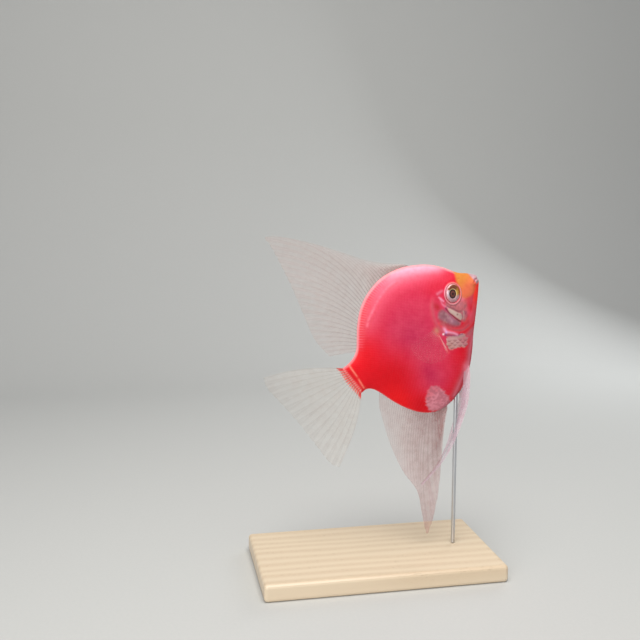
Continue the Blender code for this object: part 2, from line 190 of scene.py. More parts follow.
# %% Outline and width of the body
BACK = [
    (1.005, 0.008), (0.965, 0.062), (0.915, 0.112), (0.862, 0.198), (0.805, 0.266),
    (0.735, 0.322), (0.64, 0.374), (0.52, 0.401), (0.4, 0.386), (0.3, 0.343),
    (0.215, 0.273), (0.15, 0.198), (0.105, 0.148), (0.055, 0.121), (0.005, 0.114),
]
TAIL_END = [(-0.03, 0.116), (-0.04, 0.085), (-0.044, 0.016), (-0.044, -0.06), (-0.038, -0.086)]
BELLY = [
    (0.0, -0.089), (0.032, -0.115), (0.056, -0.17), (0.085, -0.27), (0.125, -0.365),
    (0.18, -0.45), (0.255, -0.509), (0.34, -0.527), (0.43, -0.519), (0.52, -0.486),
    (0.61, -0.425), (0.69, -0.35), (0.76, -0.272), (0.84, -0.192), (0.915, -0.116),
    (0.965, -0.062), (0.995, -0.025),
]
BODY_WIDTH, FLANK_DEPTH = 0.168, 0.26
OUTLINE = loop(BACK + TAIL_END + BELLY, 16)
RIM = spread_evenly(OUTLINE, 1500, closed=True)
RIM_STEP = np.linalg.norm(RIM[1] - RIM[0])
RIM_ZONE = 4 * RIM_STEP  # nearer the edge than this, the plain distance is the better measure
BATCH = 4000  # places measured at a time, to spare memory


def depth_inside(u, v):
    """How far in from the outline each place is, averaged all round so that no crease forms."""
    depth = np.empty(len(u))
    for part in np.array_split(np.arange(len(u)), len(u) // BATCH + 1):
        away = (RIM[:, 0] - u[part, None]) ** 2 + (RIM[:, 1] - v[part, None]) ** 2
        nearest = np.sqrt(away.min(1))
        averaged = np.sqrt(2 / (RIM_STEP / (away + 1e-9) ** 1.5).sum(1))
        depth[part] = nearest + (averaged - nearest) * ease(RIM_ZONE, 2 * RIM_ZONE, nearest)
    return depth


def half_width(u, v, depth):
    """Half the body's width at places that lie that deep inside the outline."""
    inward = np.minimum(depth / FLANK_DEPTH, 1)
    tail = 0.5 + 0.5 * ease(-0.02, 0.55, u)
    nose = 1 - 0.45 * ease(0.62, 1.02, u)
    flank = BODY_WIDTH / 2 * tail * nose * (inward * (2 - inward)) ** 0.62
    brow = 0.006 * spot(u, v, EYE_AT, 0.07)
    lips = 0.012 * spot(u, v, (0.975, -0.006), 0.035)
    cover = 0.005 * spot(u, v, (0.69, -0.06), 0.09)
    return flank + (brow + lips + cover) * np.minimum(4 * inward, 1)


widest = 2 * half_width(np.array([0.42]), np.array([-0.06]), np.array([0.4]))[0] * LENGTH
print("outline points:", len(OUTLINE), " widest part, mm:", round(widest / MM, 1))

# %% [markdown]
# ## The skin's relief
# The head carries the forms that make it a face: a socket round the eye, a nostril, lips, the
# plates of the gill cover with a slit behind them, and folds under the throat. Along the back the
# muscles of the fin rays show as fine ribs. They could be painted on as bump, but they are deep
# enough to catch light at their edges, so the skin itself is moved.

# %% Lines of the head
ORBIT_AT = EYE_AT + (-0.003, -0.0065)
EYE_WIDE, EYE_TALL = 1.04, 1.2  # the eye is an oval
EYE_LEAN = math.radians(50)  # its long axis leans forward, so far above the fish's length
GILL_EDGE = through([
    (0.716, 0.154), (0.676, 0.118), (0.636, 0.074), (0.608, 0.024), (0.591, -0.03), (0.588, -0.085),
    (0.602, -0.125), (0.63, -0.162), (0.664, -0.205), (0.715, -0.232), (0.78, -0.236),
])
BEHIND_GILLS = np.vstack([GILL_EDGE, [(1.2, -0.3), (1.2, 0.6), (0.73, 0.6)]])
THROAT_BAND = through([
    (0.614, -0.05), (0.628, -0.078), (0.646, -0.116), (0.674, -0.155), (0.709, -0.184),
    (0.76, -0.192),
])
THROAT_STRIP = through([
    (0.612, -0.112), (0.621, -0.125), (0.633, -0.139), (0.649, -0.16), (0.66, -0.182),
])
UNDER_STRIP = through([
    (0.6, -0.134), (0.624, -0.157), (0.645, -0.176), (0.661, -0.189), (0.69, -0.206),
])
CHEEK_BONE = loop([
    (0.714, -0.008), (0.727, -0.024), (0.739, -0.049), (0.75, -0.074), (0.763, -0.096),
    (0.756, -0.118), (0.737, -0.126), (0.728, -0.106), (0.718, -0.069), (0.709, -0.034),
])
CHEEK_FOLD = through([
    (0.705, 0.002), (0.703, -0.026), (0.709, -0.06), (0.718, -0.102), (0.731, -0.134),
])
BONE_SHADE = through([
    (0.722, 0.004), (0.732, -0.016), (0.746, -0.045), (0.757, -0.07), (0.776, -0.086),
], 4)
CHEEK_RIDGE = through([(0.712, 0.066), (0.704, 0.036), (0.707, 0.012), (0.716, -0.004)], 4)
CHEEK_END = through([(0.786, -0.096), (0.778, -0.112), (0.758, -0.13)], 4)
JAW_FOLD = through([
    (0.966, -0.012), (0.932, -0.048), (0.898, -0.08), (0.862, -0.114), (0.826, -0.142),
])
MOUTH = through([(1.03, -0.016), (0.998, -0.006), (0.976, 0.002), (0.96, -0.006)])
TEMPLE_MARKS = [
    through([(0.72, 0.106), (0.738, 0.103), (0.755, 0.1)], 4),
    through([(0.713, 0.082), (0.717, 0.066), (0.721, 0.046)], 4),
]
CHEST_PATCH = loop([
    (0.6, -0.147), (0.622, -0.159), (0.648, -0.183), (0.683, -0.196), (0.702, -0.212),
    (0.704, -0.235), (0.69, -0.264), (0.67, -0.284), (0.65, -0.284), (0.632, -0.262),
    (0.612, -0.25), (0.59, -0.238), (0.568, -0.228), (0.562, -0.208), (0.574, -0.18),
])
NOSTRIL = (0.893, 0.076)
print("gill cover's edge:", len(GILL_EDGE), "points")

# %% Clouds
CLOUD_TABLE = np.random.default_rng(5).random((64, 64))


def clouds(u, v, size):
    """Soft random clouds from 0 to 1, about one size across."""
    x, y = (0.8 * u + 0.6 * v) / size, (0.8 * v - 0.6 * u) / size
    i, j = np.floor(x).astype(int), np.floor(y).astype(int)
    a, b = ease(0, 1, x - i), ease(0, 1, y - j)
    near, far = i % 64, (i + 1) % 64
    low, high = j % 64, (j + 1) % 64
    left = CLOUD_TABLE[near, low] * (1 - b) + CLOUD_TABLE[near, high] * b
    right = CLOUD_TABLE[far, low] * (1 - b) + CLOUD_TABLE[far, high] * b
    return left * (1 - a) + right * a


def mottle(u, v):
    """Broad uneven clouds, as where the skin is thinner."""
    return 0.6 * clouds(u, v, 0.05) + 0.4 * clouds(u, v, 0.021)


def grains(u, v):
    """Fine uneven clouds, as of single specks of colour."""
    return 0.6 * clouds(u, v, 0.011) + 0.4 * clouds(u, v, 0.005)


print("clouds at the tail root:", clouds(np.zeros(1), np.zeros(1), 0.05).round(3))

# %% Bases of the unpaired fins
DORSAL_ROOT = ((0.7, 0.346), (0.1, 0.145))
ANAL_ROOT = ((0.342, -0.527), (0.052, -0.16))
TAIL_FIN_ROOT = ((-0.03, 0.116), (-0.038, -0.086))
DORSAL_RAY_COUNT, ANAL_RAY_COUNT, TAIL_RAY_COUNT = 37, 33, 15


def outline_between(first, last, count):
    """Points along the body's outline, the shorter way round, from one place to another."""
    start = int(np.argmin(np.linalg.norm(OUTLINE - first, axis=1)))
    stop = int(np.argmin(np.linalg.norm(OUTLINE - last, axis=1)))
    size = len(OUTLINE)
    ahead = (stop - start) % size
    steps = range(ahead + 1) if ahead <= size / 2 else range(0, ahead - size - 1, -1)
    return spread_evenly(np.array([OUTLINE[(start + k) % size] for k in steps]), count)


def ray_ribs(u, v, root, rays, reach):
    """Ribs that stand on a fin's base inside the body: how strong, and where each one is."""
    near, share = distance_to(u, v, outline_between(*root, 60))
    ends = ease(0.0, 0.06, share) * ease(1.0, 0.94, share)
    strength = ease(reach, reach * 0.3, near) * ends
    return strength, 0.5 + 0.5 * np.cos(2 * math.pi * (rays - 1) * share)


print("rays:", DORSAL_RAY_COUNT, ANAL_RAY_COUNT, TAIL_RAY_COUNT)

# %% Places measured from the eye
EYE_RIM, RIM_FOLD, SOCKET_WALL = 3.02, 3.55, (2.79, 2.48)  # millimetres from the eye's middle


def eye_axes(ahead, up):
    """A step from the eye's middle, taken across the oval and along it."""
    lean = (math.cos(EYE_LEAN), math.sin(EYE_LEAN))
    return (ahead * lean[1] - up * lean[0]) / EYE_WIDE, (ahead * lean[0] + up * lean[1]) / EYE_TALL


def eye_distance(u, v):
    """Distance from the eye's middle in millimetres, stretched so that its oval rim is one value."""
    return np.hypot(*eye_axes(u - ORBIT_AT[0], v - ORBIT_AT[1])) * LENGTH / MM


print("eye's middle to the snout's tip, mm:", round(float(eye_distance(1.0, 0.0)), 1))

# %% Relief
FOLDS = [  # each line's height in millimetres, and its width
    (CHEEK_FOLD, -0.1, 0.0045), (JAW_FOLD, -0.06, 0.006), (CHEEK_RIDGE, 0.05, 0.006),
    (BONE_SHADE, -0.04, 0.004), (CHEEK_END, 0.04, 0.005), (THROAT_BAND, 0.1, 0.016),
    (THROAT_STRIP, 0.16, 0.009), (UNDER_STRIP, -0.06, 0.005),
    *((mark, 0.03, 0.006) for mark in TEMPLE_MARKS),
]
FIN_BASES = [  # each base, its rays, how far its ribs reach into the body, and their height
    (DORSAL_ROOT, DORSAL_RAY_COUNT, 0.052, 0.06), (ANAL_ROOT, ANAL_RAY_COUNT, 0.045, 0.06),
    (TAIL_FIN_ROOT, TAIL_RAY_COUNT, 0.024, 0.015),
]


def relief(u, v, depth):
    """How far the skin stands out from the plain flank, in millimetres."""
    from_eye = eye_distance(u, v)
    high = 0.13 * np.exp(-(((from_eye - EYE_RIM) / 0.2) ** 2))
    high -= 0.06 * np.exp(-(((from_eye - RIM_FOLD) / 0.22) ** 2))
    into_head = depth_in(u, v, BEHIND_GILLS)
    plates = 0.14 * ease(-0.008, 0.006, into_head) - 0.07
    high += plates * (1 - ease(0.008, 0.055, np.abs(into_head))) * ease(0.15, 0.095, v)
    high += 0.11 * ease(-0.003, 0.006, depth_in(u, v, CHEEK_BONE))
    for curve, raised, width in FOLDS:
        high += raised * ridge(u, v, curve, width)
    high += 0.05 * spot(u, v, NOSTRIL, 0.012) - 0.16 * spot(u, v, NOSTRIL, 0.005)
    to_mouth, _ = distance_to(u, v, MOUTH)
    high += 0.22 * np.exp(-(((to_mouth - 0.012) / 0.009) ** 2))
    high -= 0.34 * np.exp(-((to_mouth / 0.003) ** 2))
    for root, rays, reach, raised in FIN_BASES:
        strength, ribs = ray_ribs(u, v, root, rays, reach)
        high += raised * strength * ribs
    return high * np.minimum(depth / 0.012, 1)


SOCKET_FLOOR = 1.1 * MM  # how far the bottom of the eye's socket is from the middle plane
SKIN_INSET = 0.08 * MM  # the coat's depth
print("folds and ridges:", len(FOLDS))

# %% [markdown]
# ## The skin's mesh
# One closed mesh covers the whole fish, so no seam shows. It is spun round the eye like a spider's
# web: rings close together at the head, where the detail is, and wider apart towards the tail. A
# voxel remesh would be as closed, but its even cells waste points on the plain flank.

# %% Spokes of the grid
SPOKES, SOCKET_RINGS, RINGS = 800, 26, 160
SOCKET_REACH = 3.4 * MM / LENGTH
FINE_STEP = 0.16 * MM / LENGTH  # between the rings next to the eye
EDGE_CROWDING = 1.35
NOTCH_AT, NOTCH_SIZE = np.array([1.003, -0.006]), 0.011  # the corner of the mouth
LEAST_TURN = 0.0004  # from spoke to spoke, where the outline runs straight away from the eye


def angle_from_eye(places):
    """Directions from the eye, turning on without a jump."""
    return np.unwrap(np.arctan2(places[:, 1] - ORBIT_AT[1], places[:, 0] - ORBIT_AT[0]))


def oval(angle):
    """How far the eye's rim is in a direction, as a share of a round eye's."""
    return 1 / np.hypot(*eye_axes(np.cos(angle), np.sin(angle)))


rim_round = RIM[::-1] if angle_from_eye(RIM)[-1] < angle_from_eye(RIM)[0] else RIM
rim_closed = np.append(angle_from_eye(rim_round), angle_from_eye(rim_round)[0] + 2 * math.pi)
turned = (rim_closed - rim_closed[0]) / (2 * math.pi)
walked = np.linspace(0, 1, len(rim_closed))
spoke_at = np.interp(np.arange(SPOKES) / SPOKES, 0.55 * turned + 0.45 * walked, walked)
rim_ring = np.vstack([rim_round, rim_round[:1]])
spoke_rim = np.stack([np.interp(spoke_at, walked, column) for column in rim_ring.T], 1)
least_turn = LEAST_TURN * np.arange(SPOKES)
spoke_angle = np.maximum.accumulate(angle_from_eye(spoke_rim) - least_turn) + least_turn
notch = 0.012 * np.exp(-((np.linalg.norm(spoke_rim - NOTCH_AT, axis=1) / NOTCH_SIZE) ** 2))
spoke_length = np.linalg.norm(spoke_rim - ORBIT_AT, axis=1) - notch - SKIN_INSET / LENGTH
spoke_oval = oval(spoke_angle)
spoke_span = spoke_length / spoke_oval - SOCKET_REACH
spoke_evenness = np.clip((RINGS - SOCKET_RINGS) * FINE_STEP / (EDGE_CROWDING * spoke_span), 0.2, 1)
print("spokes:", SPOKES, " longest, mm:", round(float(spoke_length.max()) * LENGTH / MM, 1))

# %% Rings of the grid
def ring_share(number, evenness):
    """How far along a spoke a ring lies: in fine steps by the eye, and again at the edge."""
    along = evenness * number + (1 - evenness) * number**2
    return 1 - (1 - along) ** EDGE_CROWDING


def ring_number(share, evenness):
    """The ring at a share of a spoke's length, the other way round."""
    along = 1 - (1 - share) ** (1 / EDGE_CROWDING)
    growth = np.maximum(1 - evenness, 1e-6)
    return (np.sqrt(evenness**2 + 4 * growth * along) - evenness) / (2 * growth)


in_socket = np.arange(1, SOCKET_RINGS + 1) / SOCKET_RINGS * SOCKET_REACH
beyond = np.linspace(0, 1, RINGS - SOCKET_RINGS + 1)[1:]
out = np.hstack([
    np.broadcast_to(in_socket, (SPOKES, SOCKET_RINGS)),
    SOCKET_REACH + spoke_span[:, None] * ring_share(beyond[None, :], spoke_evenness[:, None]),
]) * spoke_oval[:, None]
grid_u = ORBIT_AT[0] + np.cos(spoke_angle)[:, None] * out
grid_v = ORBIT_AT[1] + np.sin(spoke_angle)[:, None] * out
finest = float(np.diff(out, axis=1).min()) * LENGTH / MM
print("grid:", grid_u.shape, " finest ring step, mm:", round(finest, 3))

# %% Height of the flank over the grid
flat_u, flat_v = grid_u.ravel(), grid_v.ravel()
grid_depth = depth_inside(flat_u, flat_v)
side_out = half_width(flat_u, flat_v, grid_depth) * LENGTH - SKIN_INSET
side_out = np.maximum(side_out + relief(flat_u, flat_v, grid_depth) * MM, 0)
in_pit = ease(*SOCKET_WALL, eye_distance(flat_u, flat_v))
side_out = (side_out * (1 - in_pit) + SOCKET_FLOOR * in_pit).reshape(grid_u.shape)
side_out[:, -1] = 0
FLANK = np.stack([grid_u * LENGTH, side_out, grid_v * LENGTH], 2)


def normals_of(surface):
    """Outward directions over a grid whose first axis closes on itself."""
    round_it = np.roll(surface, -1, 0) - np.roll(surface, 1, 0)
    normal = np.cross(np.gradient(surface, axis=1), round_it)
    normal /= np.linalg.norm(normal, axis=2)[..., None] + 1e-12
    return normal * np.where(normal[..., 1:2].mean() < 0, -1, 1)


FLANK_NORMAL = normals_of(FLANK)
unrolled = np.cumsum(np.linalg.norm(np.diff(FLANK, axis=1, prepend=FLANK[:, :1]), axis=2), axis=1)
unrolled += out[:, :1] * LENGTH
print("half width at the eye's rim, mm:", round(float(side_out[0, SOCKET_RINGS]) / MM, 2))

# %% Reading the surface anywhere
closed_angle = np.append(spoke_angle, spoke_angle[0] + 2 * math.pi)
closed_span = np.append(spoke_span, spoke_span[0])
closed_evenness = np.append(spoke_evenness, spoke_evenness[0])


def on_grid(u, v):
    """Where on the grid a place falls: spoke and ring numbers, with fractions."""
    angle = np.arctan2(v - ORBIT_AT[1], u - ORBIT_AT[0])
    away = np.hypot(u - ORBIT_AT[0], v - ORBIT_AT[1]) / oval(angle)
    angle = spoke_angle[0] + (angle - spoke_angle[0]) % (2 * math.pi)
    spoke = np.interp(angle, closed_angle, np.arange(SPOKES + 1))
    share = (away - SOCKET_REACH) / np.interp(angle, closed_angle, closed_span)
    beyond = ring_number(np.clip(share, 0, 1), np.interp(angle, closed_angle, closed_evenness))
    outer = SOCKET_RINGS - 1 + beyond * (RINGS - SOCKET_RINGS)
    ring = np.where(away < SOCKET_REACH, away / SOCKET_REACH * SOCKET_RINGS - 1, outer)
    return spoke, np.clip(ring, 0, RINGS - 1)


def read(table, spoke, ring):
    """A grid of values read between its points."""
    i, j = np.floor(spoke).astype(int) % SPOKES, np.minimum(np.floor(ring).astype(int), RINGS - 2)
    a, b = spoke - np.floor(spoke), ring - j
    if table.ndim == 3:
        a, b = a[..., None], b[..., None]
    k = (i + 1) % SPOKES
    near = table[i, j] * (1 - b) + table[i, j + 1] * b
    far = table[k, j] * (1 - b) + table[k, j + 1] * b
    return near * (1 - a) + far * a


def unrolled_place(u, v):
    """Where a place lies on the skin when a flank is rolled out flat round its eye, in lengths."""
    reach = read(unrolled, *on_grid(u, v)) / LENGTH
    angle = np.arctan2(v - ORBIT_AT[1], u - ORBIT_AT[0])
    return reach * np.cos(angle), reach * np.sin(angle)


tail_place = unrolled_place(np.array([0.0]), np.array([0.0]))
print("tail root on the unrolled flank:", [round(float(x[0]), 3) for x in tail_place])

# %% [markdown]
# ## Shader maths
# A finish is a little formula: this colour where a mask is high, that one where it is low. Written
# as nodes it takes a dozen lines a step, so one small class wraps a socket and lets Python's signs
# add the Math nodes. Colours go through Mix nodes, because a Math node would turn them grey.

# %% A socket that can be reckoned with
class Wire:
    """One value or colour in a material's nodes, so that a finish reads as a formula."""

    def __init__(self, tree, socket=None):
        self.tree, self.socket = tree, socket

    def node(self, kind, inputs=(), out=0, **settings):
        """Add a node: its settings first, then values or wires by socket."""
        made = self.tree.nodes.new("ShaderNode" + kind)
        for name, value in settings.items():
            setattr(made, name, value)
        for name, value in dict(inputs).items():
            if isinstance(value, Wire):
                self.tree.links.new(value.socket, made.inputs[name])
            else:
                made.inputs[name].default_value = value
        return Wire(self.tree, made.outputs[out] if made.outputs else None)

    def math(self, operation, *values):
        return self.node("Math", enumerate(values), operation=operation)

    def __add__(self, other):
        return self.math("ADD", self, other)

    def __sub__(self, other):
        return self.math("SUBTRACT", self, other)

    def __rsub__(self, other):
        return self.math("SUBTRACT", other, self)

    def __mul__(self, other):
        return self.math("MULTIPLY", self, other)

    def __pow__(self, other):
        return self.math("POWER", self, other)

    __radd__, __rmul__ = __add__, __mul__

    def between(self, low, high):
        """0 where this is at low and 1 where it is at high, with a soft step."""
        return self.node("MapRange", {0: self, 1: low, 2: high}, interpolation_type="SMOOTHSTEP")

    def mix(self, low, high, **settings):
        """The low colour where this is 0 and the high one where it is 1."""
        return self.node("Mix", {0: self, 6: low, 7: high}, out=2, data_type="RGBA", **settings)

    def tinted(self, colour, share):
        """This colour multiplied by another one, by a share."""
        return share.mix(self, colour, blend_type="MULTIPLY")

# %% Starting and ending a finish
def srgb(red, green, blue):
    """A colour as a paint card gives it, 0 to 255, turned into light."""
    parts = np.array([red, green, blue]) / 255
    light = np.where(parts > 0.04045, ((parts + 0.055) / 1.055) ** 2.4, parts / 12.92)
    return tuple(float(x) for x in light) + (1.0,)


def washed(tint, colour, share):
    """A colour, or one at each place, moved towards another by a share."""
    tint, colour = np.asarray(tint)[..., :3], np.asarray(colour)[..., :3]
    return tint + (colour - tint) * np.clip(share, 0, 1)[..., None]


def new_finish(name):
    """An empty material, the wire that its formula starts from, and the object's own places."""
    material = bpy.data.materials.new(name)
    material.use_nodes = True
    material.node_tree.nodes.clear()
    start = Wire(material.node_tree)
    return material, start, start.node("TexCoord", out="Object")


def kept(start, name, out="Fac"):
    """A value or colour that was kept on the mesh's points."""
    return start.node("Attribute", out=out, attribute_name=name)


def noise(place, scale, detail=2):
    """Soft clouds, that many to a metre."""
    return place.node("TexNoise", {"Vector": place, "Scale": scale, "Detail": detail})


def drawn_out(place, x, y, z):
    """Places scaled so that what is drawn on them is stretched."""
    return place.node("Mapping", {"Vector": place, "Scale": (x, y, z)})


def bumped(start, height, distance, strength):
    return start.node("Bump", {"Height": height, "Distance": distance, "Strength": strength})


def cover_with(start, **inputs):
    """The surface shader, with its sockets named with _ for a space."""
    named = {key.replace("_", " "): value for key, value in inputs.items()}
    start.node("OutputMaterial", {"Surface": start.node("BsdfPrincipled", named)})


print("a mid grey as light:", [round(x, 3) for x in srgb(128, 128, 128)])

# %% [markdown]
# ## The markings
# The fish wears a red coat that is rose in the middle of the flank, deep red towards the tail and
# pink along the back, where part of the pink is a painted highlight of the light from above. Its
# snout is orange, and on the cheek, the chest and the belly the red is missing, so that silver and
# grey show. The marks are layers of paint, each laid through a soft mask, first the broad ones and
# then the fine ones; a few of them are painted light, highlight on the throat's shiny rim and shade
# in folds and hollows. Skin and scales ask the same function for their colour, so that the marks
# run on from one to the other.

# %% Colours of the coat
COAT = {
    "rose": srgb(206, 48, 80),
    "mauve": srgb(182, 36, 78),
    "red": srgb(220, 16, 30),
    "deep red": srgb(204, 4, 24),
    "fire red": srgb(232, 18, 24),
    "coral": srgb(226, 82, 88),
    "rose pink": srgb(226, 88, 114),
    "pink": srgb(244, 136, 156),
    "rim pink": srgb(246, 154, 160),
    "pale pink": srgb(248, 176, 200),
    "orange": srgb(208, 130, 60),
    "coral orange": srgb(226, 112, 78),
    "lip": srgb(184, 152, 160),
    "jaw red": srgb(248, 58, 50),
    "jaw rose": srgb(208, 74, 90),
    "silver": srgb(188, 154, 150),
    "cheek": srgb(184, 112, 116),
    "blood": srgb(178, 40, 50),
    # painted highlight on the throat's shiny rim, as is the glint below
    "violet": srgb(222, 176, 230),
    "plum": srgb(120, 62, 110),
    "glint": srgb(255, 238, 248),
    "gill grey": srgb(146, 102, 114),
    "orbit": srgb(206, 144, 150),
    "dark gill": srgb(130, 84, 92),
    "bone": srgb(192, 166, 156),
    "shadow": srgb(92, 40, 50),
    "tan": srgb(190, 124, 108),
    "spotted pale": srgb(190, 118, 132),
    "belly pale": srgb(212, 134, 148),
    "belly dark": srgb(176, 98, 112),
    "mauve skin": srgb(196, 92, 108),
    "lilac": srgb(230, 158, 186),
    "cream": srgb(244, 136, 116),
    "white edge": srgb(244, 214, 200),
}
print("colours of the coat:", len(COAT))

# %% Places of the marks
SNOUT_PATCH = loop([
    (0.915, 0.3), (0.9, 0.15), (0.892, 0.112), (0.87, 0.076), (0.864, 0.036), (0.846, 0.002),
    (0.854, -0.024), (0.884, -0.04), (0.914, -0.042), (0.94, -0.02), (0.962, 0.008), (0.972, 0.034),
    (0.985, 0.07), (1.06, 0.3),
])
JAW_PATCH = loop([
    (1.08, 0.02), (0.986, -0.002), (0.96, -0.014), (0.93, -0.045), (0.898, -0.076), (0.864, -0.112),
    (0.83, -0.14), (0.773, -0.158), (0.717, -0.16), (0.676, -0.14), (0.64, -0.095), (0.616, -0.045),
    (0.606, -0.052), (0.634, -0.116), (0.668, -0.166), (0.712, -0.196), (0.77, -0.208),
    (0.83, -0.2), (0.88, -0.17), (1.1, -0.12),
])
GILL_WINDOW = loop([
    (0.656, 0.014), (0.684, 0.01), (0.697, -0.034), (0.707, -0.086), (0.726, -0.132),
    (0.706, -0.147), (0.674, -0.128), (0.648, -0.094), (0.628, -0.058), (0.624, -0.027),
    (0.636, -0.002),
])
CHEEK_PATCH = loop([
    (0.722, 0.026), (0.75, 0.004), (0.8, -0.022), (0.846, -0.01), (0.852, -0.044), (0.824, -0.092),
    (0.8, -0.132), (0.77, -0.154), (0.742, -0.14), (0.706, -0.04),
])
BELLY_PATCH = loop([
    (0.322, -0.336), (0.36, -0.358), (0.372, -0.401), (0.376, -0.449), (0.366, -0.56),
    (0.29, -0.56), (0.26, -0.5), (0.232, -0.475), (0.231, -0.431), (0.258, -0.377), (0.292, -0.35),
])
FRONT_STRIP = through([
    (0.735, -0.28), (0.672, -0.33), (0.62, -0.385), (0.568, -0.412), (0.498, -0.445),
    (0.412, -0.494),
])
VENT = through([(0.455, -0.5), (0.432, -0.506), (0.412, -0.514)], 4)
TAIL_LINE = through([
    (0.017, 0.112), (0.011, 0.086), (0.008, 0.052), (0.005, 0.011), (-0.002, -0.037),
    (-0.007, -0.086),
])
DORSAL_LINE = through([
    (0.253, 0.23), (0.287, 0.258), (0.332, 0.282), (0.376, 0.303), (0.421, 0.323), (0.464, 0.334),
    (0.51, 0.341), (0.555, 0.34),
], 6)
FIN_STREAK = through([(0.571, -0.06), (0.557, -0.12), (0.549, -0.176), (0.546, -0.236)])
GILL_SPOT = (0.571, -0.07)
print("jaw's outline:", len(JAW_PATCH), "points")

# %% Masks
def near_to(u, v, curve, margin, otherwise, measure):
    """A measure that is reckoned only near a curve, and is one value everywhere else."""
    low, high = curve.min(0) - margin, curve.max(0) + margin
    near = (u > low[0]) & (u < high[0]) & (v > low[1]) & (v < high[1])
    values = np.full(u.shape, otherwise)
    values[near] = measure(u[near], v[near])
    return values


def depth_near(u, v, outline, margin=0.03):
    """How far inside an outline each place is, below 0 outside it."""
    return near_to(u, v, outline, margin, -1.0, lambda a, b: depth_in(a, b, outline))


def patch(u, v, outline, soft):
    """1 inside an outline and 0 outside it, over a soft edge."""
    return ease(-soft, soft, depth_near(u, v, outline, 2 * soft))


def stroke(u, v, curve, width):
    """A soft line along a curve."""
    return near_to(u, v, curve, 3 * width, 0.0, lambda a, b: ridge(a, b, curve, width))


def softly(u, v, marks):
    """Soft spots, and soft lines where the place is a curve: colour, strength, place and size."""
    for colour, strength, at, size in marks:
        mask = stroke if isinstance(at, np.ndarray) else spot
        yield colour, strength * mask(u, v, at, size)


def layers_in(*parts):
    """How many layers of paint these marks lay."""
    return sum(len(list(part(np.zeros(1), np.zeros(1)))) for part in parts)


chest_depth = depth_near(*CHEST_PATCH.mean(0)[:, None], CHEST_PATCH)
print("chest patch, half its width in lengths:", chest_depth.round(3))

# %% Marks of the flank
def rim_distance(u, v):
    """How far each place is from the edge of the flank."""
    return distance_to(u, v, np.vstack([RIM[::6], RIM[0]]))[0]


def flank_marks(u, v):
    """The broad colours: rose, deep red behind, and pink along the back, partly a painted highlight.
    """
    from_rim, uneven = rim_distance(u, v), mottle(u, v)
    towards_tail = ease(0.42, 0.1, u + 0.25 * np.abs(v + 0.05))
    upwards = ease(0.05, 0.28, v)
    yield "red", ease(0.22, 0.03, from_rim) * 0.8 * (1 - 0.6 * upwards)
    yield from softly(u, v, [
        ("mauve", 0.9, (0.43, -0.01), (0.13, 0.15)),
        ("mauve", 0.95, (0.366, -0.25), (0.06, 0.11)),
    ])
    yield "rose pink", 0.35 * uneven * ease(0.1, 0.25, from_rim)
    yield "red", towards_tail
    yield from softly(u, v, [
        ("deep red", 0.9, (0.18, -0.14), (0.16, 0.16)),
        ("fire red", 0.9, (0.105, -0.3), (0.08, 0.14)),
        ("deep red", 0.9, (0.215, -0.4), (0.06, 0.07)),
        ("red", 0.45, (0.59, -0.29), (0.1, 0.06)),
    ])
    # Rose pink towards the top rim: partly the coat's own colour, partly a painted highlight of the
    # light from above.
    yield "rose pink", 0.9 * ease(0.19, 0.05, from_rim) * upwards * ease(0.14, 0.32, u)
    yield "red", 0.25 * spot(u, v, (0.725, 0.15), (0.09, 0.06))
    yield "coral", ease(0.09, 0.0, from_rim) * ease(0.1, 0.28, v) * ease(0.5, 0.3, u) * 0.8
    # Pink and pale pink along the top rim: partly the coat's own colour, partly a painted highlight
    # of the light from above.
    yield "pink", ease(0.12, 0.0, from_rim) * ease(0.34, 0.62, u) * ease(0.15, 0.3, v)
    yield "pale pink", 0.85 * ease(0.07, 0.0, from_rim) * ease(0.5, 0.7, u) * ease(0.15, 0.26, v)


def fin_base_marks(u, v):
    """Ribs in the fins' colours, and the pink rim of the back."""
    from_rim, uneven, specks = rim_distance(u, v), mottle(u, v), grains(u, v)
    strength, ribs = ray_ribs(u, v, DORSAL_ROOT, int(1.2 * DORSAL_RAY_COUNT), 0.056)
    strength = strength * ease(0.6, 0.42, u) * (0.6 + 0.4 * uneven)
    yield "pink", strength * ribs * 0.5
    yield "red", strength * (1 - ribs) * 0.7
    broken = 0.45 + 0.55 * ease(0.35, 0.65, specks)
    yield "pink", stroke(u, v, DORSAL_LINE, 0.0068) * broken * 0.55
    yield "coral", stroke(u, v, DORSAL_LINE - (-0.012, 0.016), 0.005) * broken * 0.4
    yield "rim pink", ease(0.018, 0.006, from_rim) * ease(0.05, 0.15, v) * 0.9
    yield "coral", ease(0.012, 0.003, from_rim) * ease(-0.05, -0.2, v) * ease(0.5, 0.4, u) * 0.6
    strength, ribs = ray_ribs(u, v, TAIL_FIN_ROOT, TAIL_RAY_COUNT, 0.04)
    yield "deep red", strength * ease(0.55, 0.1, ribs) * ease(0.004, -0.008, u) * 0.8
    yield "coral", strength * ease(0.55, 0.95, ribs) * ease(0.004, -0.008, u) * 0.75
    yield "white edge", strength * ease(0.45, 0.15, ribs) * ease(-0.016, -0.03, u) * 0.65


print("layers on the flank:", layers_in(flank_marks, fin_base_marks))

